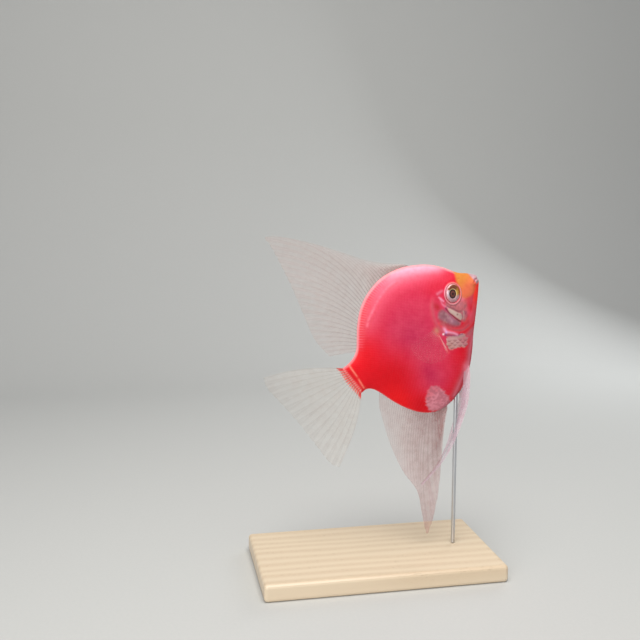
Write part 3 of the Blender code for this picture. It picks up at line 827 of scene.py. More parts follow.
# %% Marks of the head
def head_marks(u, v):
    """The orange snout, the red jaw and the cheek."""
    uneven, specks = mottle(u, v), grains(u, v)
    yield "jaw rose", 0.9 * spot(u, v, (0.88, -0.078), (0.05, 0.045))
    yield "jaw red", patch(u, v, JAW_PATCH, 0.01)
    yield "jaw rose", patch(u, v, JAW_PATCH, 0.01) * ease(0.92, 0.85, u) * 0.9
    yield "cheek", patch(u, v, CHEEK_PATCH, 0.016) * (0.75 + 0.25 * uneven)
    yield "rose pink", 0.6 * spot(u, v, (0.812, -0.134), (0.02, 0.04))
    yield "dark gill", 0.35 * patch(u, v, CHEEK_PATCH, 0.014) * ease(0.55, 0.35, specks)
    yield from softly(u, v, [
        ("coral", 0.8, (0.842, -0.04), (0.024, 0.024)),
        ("pink", 0.55, (0.83, -0.032), (0.016, 0.014)),
        ("pink", 0.25, (0.796, -0.048), (0.02, 0.016)),
        ("plum", 0.3, (0.788, -0.118), (0.014, 0.02)),
    ])
    snout = ease(-0.012 - 0.016 * ease(0.05, -0.02, v), 0.012, depth_near(u, v, SNOUT_PATCH))
    yield "orange", snout
    yield "coral orange", snout * ease(0.07, -0.01, v)


def gill_marks(u, v):
    """The gill cover, its grey window and its bones."""
    uneven, specks = mottle(u, v), grains(u, v)
    yield "dark gill", stroke(u, v, THROAT_BAND, 0.006) * 0.4
    window = patch(u, v, GILL_WINDOW, 0.014)
    yield "gill grey", window * 0.95
    yield "silver", window * 0.3 * ease(0.45, 0.75, clouds(u, v, 0.016))
    yield "dark gill", window * 0.4 * ease(0.6, 0.35, specks)
    yield from softly(u, v, [
        ("gill grey", 0.45, (0.709, -0.11), (0.016, 0.012)),
        ("dark gill", 0.75, (0.661, -0.029), (0.012, 0.014)),
        ("lilac", 0.25, (0.686, -0.083), (0.018, 0.026)),
        ("plum", 0.4, (0.699, -0.06), (0.008, 0.04)),
        ("blood", 0.95, (0.666, 0.047), (0.021, 0.029)),
        ("blood", 0.5, THROAT_BAND + (0.01, 0.018), 0.012),
        ("lilac", 0.4, CHEEK_RIDGE, 0.0065),
        ("plum", 0.45, (0.7, -0.004), (0.008, 0.016)),
        ("dark gill", 0.75, BONE_SHADE, 0.0055),
        ("silver", 0.7, CHEEK_END, 0.0055),
        ("dark gill", 0.8, (0.757, -0.113), (0.008, 0.012)),
        ("shadow", 0.75, CHEEK_FOLD, 0.0045),
    ])
    yield "bone", patch(u, v, CHEEK_BONE, 0.004)
    yield from softly(u, v, [
        ("gill grey", 0.35, (0.757, -0.108), 0.016),
        ("shadow", 0.7, (0.74, -0.081), 0.006),
    ])
    for mark, width, strength in zip(TEMPLE_MARKS, (0.0095, 0.0062), (0.5, 0.75)):
        # A faint dark red line behind and below each raised temple mark is painted shade.
        yield "blood", stroke(u, v, mark - (0.012, 0.006), 0.007) * 0.25
        yield "lilac", stroke(u, v, mark, width) * strength * (0.5 + 0.5 * uneven)
    yield "cheek", stroke(u, v, GILL_EDGE + (0.008, 0.0), 0.012) * 0.32 * ease(0.13, 0.07, v)
    yield "jaw rose", stroke(u, v, GILL_EDGE - (0.008, 0.0), 0.007) * 0.3 * ease(0.13, 0.07, v)


print("layers on the head:", layers_in(head_marks, gill_marks))

# %% Marks of the chest and the belly
def chest_marks(u, v):
    """The silver chest, its mauve front, the folds of the throat, and painted highlight and shade on
    the throat's shiny rim.
    """
    uneven, specks = mottle(u, v), grains(u, v)
    ragged = depth_near(u, v, CHEST_PATCH) + 0.016 * (specks - 0.5)
    yield "silver", ease(-0.007, 0.007, ragged) * (0.8 + 0.2 * uneven)
    yield from softly(u, v, [
        ("tan", 0.45, (0.58, -0.205), (0.018, 0.026)),
        ("mauve skin", 0.55, (0.69, -0.252), (0.026, 0.026)),
        ("mauve skin", 0.8, FRONT_STRIP, 0.026),
        ("pink", 0.35, FRONT_STRIP, 0.008),
        ("spotted pale", 0.6, (0.745, -0.245), (0.05, 0.024)),
        ("pink", 0.7, (0.592, -0.4), (0.03, 0.03)),
        # The plum line in the groove under the raised lilac strip is painted shade.
        ("plum", 0.55, UNDER_STRIP, 0.0055),
        # The lilac strip and blob, the violet spot and the glint are painted highlight on the
        # throat's shiny raised rim.
        ("lilac", 0.85, THROAT_STRIP, 0.008),
        ("lilac", 0.9, (0.616, -0.097), (0.011, 0.018)),
        ("violet", 0.9, (0.611, -0.119), 0.008),
        ("plum", 0.85, (0.601, -0.128), 0.0065),
        ("glint", 1.0, (0.591, -0.116), 0.006),
    ])


def belly_marks(u, v):
    """The pale belly, and single marks from the vent to the lips."""
    specks = grains(u, v)
    pale = ease(-0.006, 0.006, depth_near(u, v, BELLY_PATCH) + 0.022 * (specks - 0.5))
    yield "belly pale", pale * (0.65 + 0.35 * ease(-0.36, -0.42, v))
    dark = ease(0.62, 0.38, clouds(u, v, 0.0095))
    yield "belly dark", pale * dark * (0.55 + 0.2 * ease(-0.46, -0.4, v))
    yield from softly(u, v, [
        ("shadow", 0.8, VENT, 0.0045),
        ("coral", 0.55, FIN_STREAK, 0.007),
        ("tan", 0.9, GILL_SPOT, (0.017, 0.022)),
    ])
    yield "cream", stroke(u, v, TAIL_LINE, 0.0048) * (0.9 - 0.8 * spot(u, v, (0.005, 0.011), 0.01))
    yield "lip", ease(0.96, 0.974, u) * ease(-0.034, -0.022, v)
    yield "jaw rose", stroke(u, v, MOUTH, 0.005) * 0.5


print("layers on the chest and belly:", layers_in(chest_marks, belly_marks))

# %% Laying the marks
def rim_of_eye_marks(u, v):
    """The pale ring round the eye, the shadow outside it, and painted shade of dark rose in the
    socket.
    """
    orbit = eye_distance(u, v)
    across, along = eye_axes(u - ORBIT_AT[0], v - ORBIT_AT[1])
    yield "shadow", np.exp(-(((orbit - 3.42) / 0.14) ** 2)) * 0.35 * ease(0.01, -0.03, along)
    ring = np.exp(-(((orbit - EYE_RIM) / 0.19) ** 2))
    yield "orbit", ring * 0.9
    yield "pale pink", ring * 0.6 * ease(-0.01, -0.045, across) * ease(-0.03, 0.01, along)
    yield "coral orange", ring * 0.45 * ease(0.02, 0.05, along)
    # Painted shade in the socket round the eyeball, in dark rose rather than black.
    yield "jaw rose", ease(2.74, 2.62, orbit) * 0.6


PARTS = (flank_marks, fin_base_marks, head_marks, gill_marks, chest_marks, belly_marks,
         rim_of_eye_marks)


def markings(u, v):
    """The coat's colour at each place of the flank, as light."""
    tint = np.tile(np.array(COAT["rose"][:3]), (len(u), 1))
    for marks_of_part in PARTS:
        for colour, mask in marks_of_part(u, v):
            tint = washed(tint, COAT[colour], mask)
    return tint


print("colour at the flank's middle:", markings(np.full(1, 0.42), np.full(1, -0.06)).round(3))

# %% [markdown]
# ## Building the skin
# The two flanks share their last ring, the thin edge along the back and belly, and each is closed
# at the bottom of its eye socket. The colours are kept on the points, one for each.

# %% Mesh helpers
def new_mesh(name, points, faces):
    mesh = bpy.data.meshes.new(name)
    mesh.from_pydata(points.tolist(), [], faces)
    mesh.update()
    mesh.shade_smooth()
    return mesh


def quads_of(index):
    """The four corners of each cell of a grid of points."""
    near, far = index[:-1], index[1:]
    return np.stack([near[:, :-1], near[:, 1:], far[:, 1:], far[:, :-1]], -1).reshape(-1, 4)


def border_of(index):
    """The points round the edge of a grid, in order."""
    return np.concatenate([index[0, :-1], index[:-1, -1], index[-1, :0:-1], index[:0:-1, 0]])


def keep_colour(mesh, name, colours):
    """Stores a colour for each point."""
    layer = mesh.attributes.new(name, "FLOAT_COLOR", "POINT")
    with_alpha = np.ones((len(colours), 4), np.float32)
    with_alpha[:, :3] = colours
    layer.data.foreach_set("color", with_alpha.ravel())


def keep_value(mesh, name, values):
    """Stores a number for each point."""
    layer = mesh.attributes.new(name, "FLOAT", "POINT")
    layer.data.foreach_set("value", np.asarray(values, np.float32).ravel())


def keep_unwrap(mesh, places):
    """Stores the bake map, one place for each corner of each face."""
    layer = mesh.uv_layers.new(name="OFBake")
    layer.uv.foreach_set("vector", np.asarray(places, np.float32).ravel())


def into_scene(name, data):
    """A new object of this mesh or lamp, put in the scene."""
    added = bpy.data.objects.new(name, data)
    bpy.context.scene.collection.objects.link(added)
    return added


def add_piece(name, mesh, finish, replaced=(), place=None):
    """A piece with its finish, riding with the model; without a place, its points are tipped."""
    piece = into_scene(name, mesh)
    if place is None:
        mesh.transform(FISH_PLACE)
    else:
        piece.matrix_world = place
    mesh.materials.append(finish)
    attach(piece, "root")
    if replaced:
        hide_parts(*replaced)
    print(name, "faces:", len(mesh.polygons))

# %% Finish of the skin and the scales
def coat_finish(name, rim_share):
    """Wet fish skin: the marks, a little unevenness, and a clear coat of slime."""
    finish, start, place = new_finish(name)
    deeper = noise(place, 700).between(0.35, 0.75) * 0.2
    grain = noise(place, 2600, 3)
    colour = kept(start, "tint", "Color").tinted(srgb(226, 160, 166), deeper)
    cover_with(
        start,
        Base_Color=(kept(start, "edge") * rim_share).mix(colour, srgb(255, 170, 176)),
        Roughness=0.36 + grain * 0.18,
        Specular_IOR_Level=0.15,
        Specular_Tint=(1.0, 0.42, 0.42, 1.0),
        Normal=bumped(start, grain, 0.02 * MM, 0.4),
        Coat_Weight=0.04,
        Coat_Roughness=0.16,
    )
    return finish


SKIN_FINISH = coat_finish("fish_skin", 0.0)
SCALE_FINISH = coat_finish("fish_scales", 0.04)
print("nodes in the skin's finish:", len(SKIN_FINISH.node_tree.nodes))

# %% The skin
FLESH = ["head", "jaw", "gill_cover_left", "gill_cover_right", "trunk", "tail_stem"]
SHEET_SCALE = 0.42  # how much of the bake map one length of skin takes


def on_sheet(a, b, side):
    """Place on the bake map of both flanks, left and right side by side."""
    across = 0.5 - side * (0.26 + SHEET_SCALE * (a + 0.33))
    return np.stack([across, 0.5 + SHEET_SCALE * (b + 0.1)], -1)


def flank_faces(first, first_on_rim, side):
    """One flank's faces round its eye, and where their corners lie on the bake map."""
    inner = RINGS - 1
    number = first + np.arange(SPOKES * inner).reshape(SPOKES, inner)
    whole = np.hstack([number, first_on_rim + np.arange(SPOKES)[:, None]])
    local = np.arange(SPOKES * RINGS).reshape(SPOKES, RINGS)
    cells = quads_of(np.vstack([local, local[:1]]))
    sheet = on_sheet(*unrolled_place(flat_u, flat_v), side)
    inmost = local[:, 0]
    fan = np.stack([inmost, np.roll(inmost, -1)], -1)
    middle = np.full((SPOKES, 1), first + SPOKES * inner)
    hub = np.broadcast_to(on_sheet(0.0, 0.0, side), (SPOKES, 1, 2))
    fan_faces, fan_places = np.hstack([middle, whole.ravel()[fan]]), np.hstack([hub, sheet[fan]])
    turn = -side
    faces = whole.ravel()[cells][:, ::turn].tolist() + fan_faces[:, ::turn].tolist()
    places = [sheet[cells][:, ::turn].reshape(-1, 2), fan_places[:, ::turn].reshape(-1, 2)]
    return faces, places


def build_skin():
    flank, rim = FLANK[:, :-1].reshape(-1, 3), FLANK[:, -1]
    half = np.vstack([flank, [(ORBIT_AT[0] * LENGTH, SOCKET_FLOOR, ORBIT_AT[1] * LENGTH)]])
    left_faces, left_places = flank_faces(0, 2 * len(half), 1)
    right_faces, right_places = flank_faces(len(half), 2 * len(half), -1)
    mesh = new_mesh("skin", np.vstack([half, half * (1, -1, 1), rim]), left_faces + right_faces)
    keep_unwrap(mesh, np.vstack(left_places + right_places))
    tint = markings(grid_u[:, :-1].ravel(), grid_v[:, :-1].ravel())
    tint = np.vstack([tint, tint[:1]])
    keep_colour(mesh, "tint", np.vstack([tint, tint, markings(grid_u[:, -1], grid_v[:, -1])]))
    add_piece("skin", mesh, SKIN_FINISH, FLESH)


build_skin()

# %% [markdown]
# ## The scales
# Scales sit in slanting rows, each one's round free edge lying over the roots of the two behind it,
# like tiles. They get smaller towards the tail, the throat and the face. An array would set them
# in a flat sheet; here each one is bent to the skin under it, so that they follow every form.

# %% One scale
SCALE_ROWS = np.array([0.0, 0.32, 0.6, 0.84, 1.0])[:, None]  # from the hidden root to the free edge
HALF_AT_ROWS = np.array([0.62, 0.94, 1.0, 0.86, 0.5])[:, None]
SCALE_SPANS, SCALE_THICKNESS = 6, 0.014 * MM

crossing = np.linspace(-1, 1, SCALE_SPANS + 1)
plate_a = SCALE_ROWS + 0.1 * (1 - crossing**2) * (SCALE_ROWS > 0.5)
plate_a = plate_a / plate_a.max()
plate_b = HALF_AT_ROWS * crossing
plate_index = np.arange(plate_a.size).reshape(plate_a.shape)
border = border_of(plate_index)
under = plate_a.size + np.arange(len(border))
walls = np.stack([border, np.roll(border, -1), np.roll(under, -1), under], -1)
SCALE_QUADS = np.vstack([quads_of(plate_index), walls[:, ::-1]])
plate_a, plate_b = plate_a.ravel(), plate_b.ravel()


def with_border(values):
    """Values of a scale's top, and again those of its border for its underside."""
    return np.concatenate([values, values[..., border]], -1)


plate_lift = -0.3 + 1.05 * plate_a - 0.22 * plate_b**2
plate_sunk = np.clip(1 - plate_a / 0.55, 0, 1) ** 1.5
plate_edge = with_border(np.clip((plate_a - 0.72) / 0.28, 0, 1) ** 1.5)
print("points to a scale:", len(plate_edge))

# %% Rows of scales
LATERAL_AXIS = -0.03
SCALE_STEP, SCALE_RISE = 1.28 * MM / LENGTH, 0.72 * MM / LENGTH


def row_squeeze(u):
    """How much the rows draw together: towards the tail and again towards the snout."""
    return (0.62 + 0.38 * ease(-0.06, 0.42, u)) * (1 - 0.46 * ease(0.6, 0.98, u))


def rows_of_scales(step, rise, seed):
    """Places of scales in staggered rows over the whole flank, and their headings and sizes."""
    rng = np.random.default_rng(seed)
    table_u = np.linspace(-0.06, 1.02, 600)
    table_x = np.concatenate([[0], np.cumsum(np.diff(table_u) / row_squeeze(table_u[:-1]))])
    lines = np.arange(-int(0.75 / rise), int(0.6 / rise) + 1)
    marks = np.arange(int(table_x[-1] / step) + 1)
    row, mark = [g.ravel() for g in np.meshgrid(lines, marks)]
    x = (mark + 0.5 * (row % 2)) * step + rng.normal(0, 0.035, row.shape) * step
    u = np.interp(x, table_x, table_u)
    squeeze = row_squeeze(u)
    level = row * rise + rng.normal(0, 0.03, row.shape) * rise
    slope = level * (row_squeeze(u + 0.002) - squeeze) / 0.002
    heading = np.stack([-np.ones(len(u)), -slope], 1)
    heading /= np.linalg.norm(heading, axis=1)[:, None]
    return u, LATERAL_AXIS + level * squeeze, heading, squeeze * (1 + rng.normal(0, 0.03, len(u)))


def only(scales, chosen):
    """Those of the scales that are chosen."""
    return [part[chosen] for part in scales]


def tips_of(scales, reach):
    """Where the scales' free edges are."""
    u, v, heading, size = scales
    return u + heading[:, 0] * reach * size, v + heading[:, 1] * reach * size


print("steps to a length of fish:", round(1 / SCALE_STEP))

# %% [markdown]
# ### From rows to a coat
# A scale is one small plate, repeated at each place, turned to its heading and bent to the skin.
# Its root is sunk and its free edge is lifted. On the bake map each scale has a patch of its own,
# so that a baked colour never runs from one scale to the next.

# %% Laying scales
SCALE_LIFT = 0.03 * MM
RIM_DARK = srgb(112, 58, 64)  # the free edge of a chest scale
SCALE_PATCH = 0.003  # a scale's own place on the bake map
COAT_SHEET_AT, COAT_SHEET_SCALE = (0.78, 0.58), 0.82


def keep_scale_patches(mesh, u, v):
    """Gives each scale a patch of the bake map, beside those of its neighbours."""
    root = COAT_SHEET_AT + COAT_SHEET_SCALE * np.stack(unrolled_place(u, v), 1)
    patch_of_one = with_border(np.stack([-plate_a, plate_b / 2])).T * SCALE_PATCH
    corner = np.zeros(len(mesh.loops), np.int32)
    mesh.loops.foreach_get("vertex_index", corner)
    keep_unwrap(mesh, (root[:, None] + patch_of_one).reshape(-1, 2)[corner])


def lay_scales(name, scales, step, rise, lift, side, seed, cover=2.05, own=None, rooted=0.0):
    """Joins scales into one piece, bent to the flank. They may have colours of their own, and
    rooted is how deep their roots are sunk."""
    u, v, heading, size = scales
    rng = np.random.default_rng(seed)
    a, b = plate_a * (cover * step * size)[:, None], plate_b * (1.12 * rise * size)[:, None]
    leaf_u = u[:, None] + heading[:, :1] * a - heading[:, 1:] * b
    leaf_v = v[:, None] + heading[:, 1:] * a + heading[:, :1] * b
    spoke, ring = on_grid(leaf_u, leaf_v)
    ground, normal = read(FLANK, spoke, ring), read(FLANK_NORMAL, spoke, ring)
    normal = normal / np.linalg.norm(normal, axis=2)[..., None]
    height = plate_lift * lift * size[:, None] * rng.uniform(0.85, 1.15, (len(u), 1))
    height = height - np.broadcast_to(rooted, u.shape)[:, None] * plate_sunk
    top = ground + normal * height[..., None]
    below = top[:, border] - normal[:, border] * SCALE_THICKNESS
    points = np.concatenate([top, below], 1) * (1, side, 1)
    starts = np.arange(len(u))[:, None, None] * points.shape[1]
    quads = (SCALE_QUADS[:, ::side] + starts).reshape(-1, 4).tolist()
    mesh = new_mesh(name, points.reshape(-1, 3), quads + (under[::side] + starts[:, 0]).tolist())
    mesh.set_sharp_from_angle(angle=math.radians(50))
    if own is None:
        tint = markings(with_border(leaf_u).ravel(), with_border(leaf_v).ravel())
    else:
        tint = washed(own[:, None], RIM_DARK, 0.9 * plate_edge[None, :]).reshape(-1, 3)
    keep_colour(mesh, "tint", tint)
    keep_value(mesh, "edge", np.tile(plate_edge, len(u)))
    keep_scale_patches(mesh, u, v)
    add_piece(name, mesh, SCALE_FINISH)

# %% Scales of the flanks
NAKED = [SNOUT_PATCH, JAW_PATCH, GILL_WINDOW, CHEEK_BONE, CHEST_PATCH]
SMOOTH_LINES = [
    THROAT_STRIP, UNDER_STRIP, THROAT_BAND, *TEMPLE_MARKS, CHEEK_RIDGE, CHEEK_FOLD, BONE_SHADE,
    CHEEK_END,
]
FOREHEAD = 0.13  # above this the scales run on to the snout
EYE_CLEAR = 3.7  # millimetres from the eye's middle to the nearest scale
PARTED_AT = -0.06  # each flank's coat is two pieces, above this and below it
FACE_SCALE = 0.62  # the size of a face scale beside a flank scale


def bare(u, v):
    """True where the fish has no scales: eye, snout, lips, gill window and throat."""
    none = eye_distance(u, v) < EYE_CLEAR
    none |= (u > 0.955) & (v > -0.06)
    for outline in NAKED:
        none |= depth_in(u, v, outline) > -0.008
    for curve in SMOOTH_LINES:
        none |= distance_to(u, v, curve)[0] < 0.012
    strength, _ = ray_ribs(u, v, DORSAL_ROOT, DORSAL_RAY_COUNT, 0.056)
    return none | (strength > 0.3) & (u < 0.52)


def build_flank_scales():
    scales = rows_of_scales(SCALE_STEP, SCALE_RISE, 11)
    u, v = scales[:2]
    tips = tips_of(scales, 2 * SCALE_STEP)
    inside = (depth_in(u, v, OUTLINE) > 0.006) & (depth_in(*tips, OUTLINE) > 0.004)
    scaled = (depth_in(u, v, BEHIND_GILLS) < -0.012) | (v > FOREHEAD)
    scales = only(scales, inside & scaled & ~bare(u, v) & ~bare(*tips))
    upper = scales[1] > PARTED_AT
    print("flank scales to a side:", len(upper))
    for label, side in SIDES:
        for part, chosen in (("upper", upper), ("lower", ~upper)):
            lay_scales(f"scales_{label}_{part}", only(scales, chosen), SCALE_STEP, SCALE_RISE,
                       SCALE_LIFT, side, 21)


def build_face_scales():
    step, rise = FACE_SCALE * SCALE_STEP, FACE_SCALE * SCALE_RISE
    scales = rows_of_scales(step, rise, 12)
    u, v = scales[:2]
    tips = tips_of(scales, 2 * step)
    inside = (depth_in(u, v, BEHIND_GILLS) > 0.034) & (depth_in(u, v, OUTLINE) > 0.01)
    inside &= (v <= FOREHEAD) & (v > -0.13)
    scales = only(scales, inside & ~bare(u, v) & ~bare(*tips))
    print("face scales to a side:", len(scales[0]))
    for label, side in SIDES:
        lay_scales(f"face_scales_{label}", scales, step, rise, 0.6 * SCALE_LIFT, side, 22)


build_flank_scales()
build_face_scales()

# %% [markdown]
# ## The chest's scales
# Under the gill cover lies a pale patch of larger, thinner scales. Each has a dark free edge, so
# their rows draw wavy lines across the patch.

# %% Scales of the chest
CHEST_STEP, CHEST_RISE = 1.95 * MM / LENGTH, 1.08 * MM / LENGTH
CHEST_SCALE = srgb(194, 152, 150)
CHEST_HEADING = np.array([-0.64, -0.77]) / math.hypot(0.64, 0.77)
CHEST_COVER = 1.25  # how many steps long a scale is


def build_chest_scales():
    rng = np.random.default_rng(31)
    rows, marks = [g.ravel() for g in np.meshgrid(np.arange(-7, 8), np.arange(-6, 7))]
    down = (marks + 0.5 * (rows % 2)) * CHEST_STEP + rng.normal(0, 0.05, rows.shape) * CHEST_STEP
    aside = rows * CHEST_RISE + rng.normal(0, 0.06, rows.shape) * CHEST_RISE
    start, ahead = CHEST_PATCH.mean(0), CHEST_HEADING
    root = np.stack([start[0] + ahead[0] * down - ahead[1] * aside,
                     start[1] + ahead[1] * down + ahead[0] * aside])
    tip = root + ahead[:, None] * CHEST_COVER * CHEST_STEP
    middle = 0.4 * root + 0.6 * tip
    keep = (depth_in(*tip, CHEST_PATCH) > -0.003) & (depth_in(*middle, CHEST_PATCH) > 0)
    keep &= (distance_to(*middle, UNDER_STRIP)[0] > 0.006) & (depth_in(*root, OUTLINE) > 0.01)
    keep &= depth_in(*root, CHEST_PATCH) > -0.014
    u, v = root[:, keep]
    heading, size = np.tile(ahead, (len(u), 1)), 1 + rng.normal(0, 0.05, len(u))
    own = washed(CHEST_SCALE, COAT["tan"], 0.45 * spot(u, v, (0.59, -0.185), (0.03, 0.04)))
    own = washed(own, COAT["mauve skin"], 0.6 * ease(0.63, 0.72, u - 0.3 * (v + 0.2)))
    rooted = (0.14 + 0.26 * ease(0.02, 0.008, distance_to(u, v, UNDER_STRIP)[0])) * MM
    print("chest scales to a side:", len(u))
    for label, side in SIDES:
        lay_scales(f"chest_scales_{label}", (u, v, heading, size), CHEST_STEP, CHEST_RISE,
                   2.0 * SCALE_LIFT, side, 32, cover=CHEST_COVER, own=own, rooted=rooted)


build_chest_scales()

# %% [markdown]
# ## The eyes
# A fish's eye has no lids. Its round lens stands out through the pupil, ringed by a pale edge and a
# silvery iris with a bronze shadow over the top, and a clear front covers it all. Each eye is turned
# on a lathe: one profile spun round its own axis.

# %% Eye shape
EYE_SIDE, EYE_TURN, EYE_TIP = 2.22 * MM, math.radians(14), math.radians(5)
PUPIL_RADIUS = 1.38
EYE_FRONT, EYE_BACK, EYE_SEGMENTS = 1.28, -1.02, 96
LOOK_ASIDE = (-0.5 * MM, 0.18 * MM)  # the pupil sits a little back of the eye's middle
LENS = [(PUPIL_RADIUS * s, 1.12 + 0.16 * (1 - s * s)) for s in np.linspace(0, 1, 9)[1:]]
EYE_PROFILE = np.array([  # radius and height, from the front's middle round to the back
    *LENS, (1.44, 1.15), (1.58, 1.19), (1.78, 1.2), (1.9, 1.17), (2.05, 1.13), (2.2, 1.08),
    (2.35, 1.01), (2.48, 0.93), (2.6, 0.8), (2.7, 0.62), (2.77, 0.4), (2.8, 0.1),
    (2.76, -0.2), (2.55, -0.6), (2.1, -0.85), (1.2, -1.0),
]) * MM


def lathe(name, profile, front, back, segments):
    """A closed turned form: a profile spun round the y axis, with a point at each end."""
    turn = np.linspace(0, 2 * math.pi, segments, endpoint=False)
    radius, height = profile[:, :1], profile[:, 1:] * np.ones(segments)
    ring = np.stack([radius * np.cos(turn), height, radius * np.sin(turn)], -1).reshape(-1, 3)
    index = 1 + np.arange(len(ring)).reshape(len(profile), segments)
    index = np.hstack([index, index[:, :1]])
    last = np.full(segments, len(ring) + 1)
    faces = np.stack([0 * last, index[0, :-1], index[0, 1:]], 1).tolist()
    faces += quads_of(index)[:, [0, 3, 2, 1]].tolist()
    faces += np.stack([last, index[-1, 1:], index[-1, :-1]], 1).tolist()
    return new_mesh(name, np.vstack([[(0, front, 0)], ring, [(0, back, 0)]]), faces)


def look_aside(mesh):
    """Keeps each point's place on the turned eye, makes it oval and moves the pupil over."""
    points = np.empty(len(mesh.vertices) * 3, np.float32)
    mesh.vertices.foreach_get("co", points)
    points = points.reshape(-1, 3)
    lean = np.array([math.cos(EYE_LEAN), math.sin(EYE_LEAN)])
    across, along = points[:, 0] * lean[1] - points[:, 2] * lean[0], points[:, [0, 2]] @ lean
    keep_value(mesh, "across", across / MM)
    keep_value(mesh, "along", along / MM)
    moved = ease(2.6, 1.5, np.hypot(across, along) / MM) * (points[:, 1] > 0)
    across, along = across * EYE_WIDE, along * EYE_TALL
    points[:, 0] = across * lean[1] + along * lean[0] + LOOK_ASIDE[0] * moved
    points[:, 2] = -across * lean[0] + along * lean[1] + LOOK_ASIDE[1] * moved
    mesh.vertices.foreach_set("co", points.ravel())


print("points of the eye's profile:", len(EYE_PROFILE))

# %% [markdown]
# ### The iris
# The iris isn't one colour: silver at the back, gold in front, and a bronze shadow over the top,
# all in fine fibres. The lathe kept each point's place on the round eye, across it and along it,
# so each part is a soft mask of those two values.

# %% Eye finish
def eye_finish():
    finish, start, place = new_finish("fish_eye")
    across, along = kept(start, "across"), kept(start, "along")
    radius = (across * across + along * along) ** 0.5
    fibres, specks = noise(place, 2200, 4), noise(place, 900)
    iris = fibres.between(0.3, 0.7).mix(srgb(158, 112, 120), srgb(182, 140, 146))
    iris = (specks.between(0.4, 0.7) * 0.5).mix(iris, srgb(200, 160, 162))
    silver = (across * -1).between(0.9, 1.7) * along.between(1.5, 0.6) * along.between(-1.9, -0.7)
    iris = (silver * 0.65).mix(iris, srgb(206, 178, 190))
    gold = (across * 0.95 + along * 0.3).between(0.7, 1.5) * along.between(-0.9, 0.1)
    gilt = radius.between(1.75, 2.25).mix(srgb(190, 144, 58), srgb(150, 86, 8))
    crescent = (along + fibres * 0.5 - 0.25).between(0.75, 1.2) * across.between(1.8, 0.9)
    bronze = radius.between(2.25, 2.5).mix(srgb(114, 56, 28), srgb(156, 86, 60))
    iris = crescent.mix(gold.mix(iris, gilt), bronze)
    sunlit = (along + across * 0.6).between(-0.8, 0.8)
    pale_ring = (1 - radius.between(1.46, 1.62)) * (0.3 + 0.6 * along.between(-1.3, 0.1))
    colour = pale_ring.mix(iris, sunlit.mix(srgb(206, 182, 190), srgb(232, 200, 134)))
    colour = radius.between(2.5, 2.62).mix(colour, srgb(204, 146, 152))
    browner = radius.between(0.3, 0.52) - radius.between(0.78, 1.04)
    pupil = browner.mix(srgb(46, 18, 16), srgb(104, 52, 42))
    cover_with(
        start,
        Base_Color=radius.between(1.4, 1.32).mix(colour, pupil),
        Roughness=0.22 + fibres * 0.1,
        Coat_Weight=0.6,
        Coat_Roughness=0.02,
        Normal=bumped(start, fibres, 0.04 * MM, 0.4),
    )
    return finish

# %% Setting the eyes
EYE_FINISH = eye_finish()
for label, side in SIDES:
    turned_eye = lathe(f"eyeball_{label}", EYE_PROFILE, EYE_FRONT * MM, EYE_BACK * MM, EYE_SEGMENTS)
    look_aside(turned_eye)
    if side < 0:
        turned_eye.transform(Matrix.Diagonal((1, -1, 1, 1)))
        turned_eye.flip_normals()
    in_head = Matrix.Translation((ORBIT_AT[0] * LENGTH, side * EYE_SIDE, ORBIT_AT[1] * LENGTH))
    eye_turn = Matrix.Rotation(-side * EYE_TURN, 4, "Z") @ Matrix.Rotation(-side * EYE_TIP, 4, "X")
    add_piece(f"eyeball_{label}", turned_eye, EYE_FINISH, [f"eye_{label}"],
              FISH_PLACE @ in_head @ eye_turn)

# %% [markdown]
# ## The fins
# A fin is a clear membrane stretched over rays. The front rays are spines, thick and whole; the
# others are jointed and split in two, and often again, towards the margin. Each fin is one closed
# sheet, thickened along its rays, so that they stand out on both sides as they do in life.

# %% Fin finish
def fin_finish():
    finish, start, place = new_finish("fin_membrane")
    film = noise(place, 420, 3)
    clouded = film.between(0.3, 0.8)
    cover_with(
        start,
        Base_Color=kept(start, "tint", "Color").tinted(srgb(236, 220, 216), clouded * 0.5),
        Roughness=0.4 + film * 0.12,
        Alpha=kept(start, "body") * (0.8 + clouded * 0.35) + kept(start, "ray"),
        Coat_Weight=0.1,
        Coat_Roughness=0.2,
        Normal=bumped(start, film, 0.03 * MM, 0.3),
    )
    return finish


FIN_FINISH = fin_finish()
print("nodes in the fins' finish:", len(FIN_FINISH.node_tree.nodes))

# %% A sheet with rays
def sheet_mesh(name, middle, thickness, values):
    """A closed sheet round a grid of middle points, with its own thickness and values at each."""
    normal = np.cross(np.gradient(middle, axis=0), np.gradient(middle, axis=1))
    normal /= np.linalg.norm(normal, axis=2)[..., None] + 1e-15
    offset = normal * thickness[..., None] / 2
    points = np.concatenate([(middle + offset).reshape(-1, 3), (middle - offset).reshape(-1, 3)])
    index = np.arange(thickness.size).reshape(thickness.shape)
    front, edge = quads_of(index)[:, [0, 3, 2, 1]], border_of(index)
    after, behind = np.roll(edge, -1), thickness.size
    walls = np.stack([edge, after, after + behind, edge + behind], -1)
    mesh = new_mesh(name, points, np.vstack([front, front[:, ::-1] + behind, walls]).tolist())
    for key, value in values.items():
        keep = keep_colour if value.ndim == 3 else keep_value
        keep(mesh, key, np.concatenate([value.reshape(index.size, -1)] * 2))
    return mesh


def fin_piece(node, middle, thickness, values):
    """A fin in its finish, which stands for the frame's fin."""
    name = node + "_rays"
    mesh = sheet_mesh(name, middle, thickness, values)
    add_piece(name, mesh, FIN_FINISH, [node])


FIRST_SPLIT, SECOND_SPLIT = 0.5, 0.78  # how far out a soft ray parts in two, and again


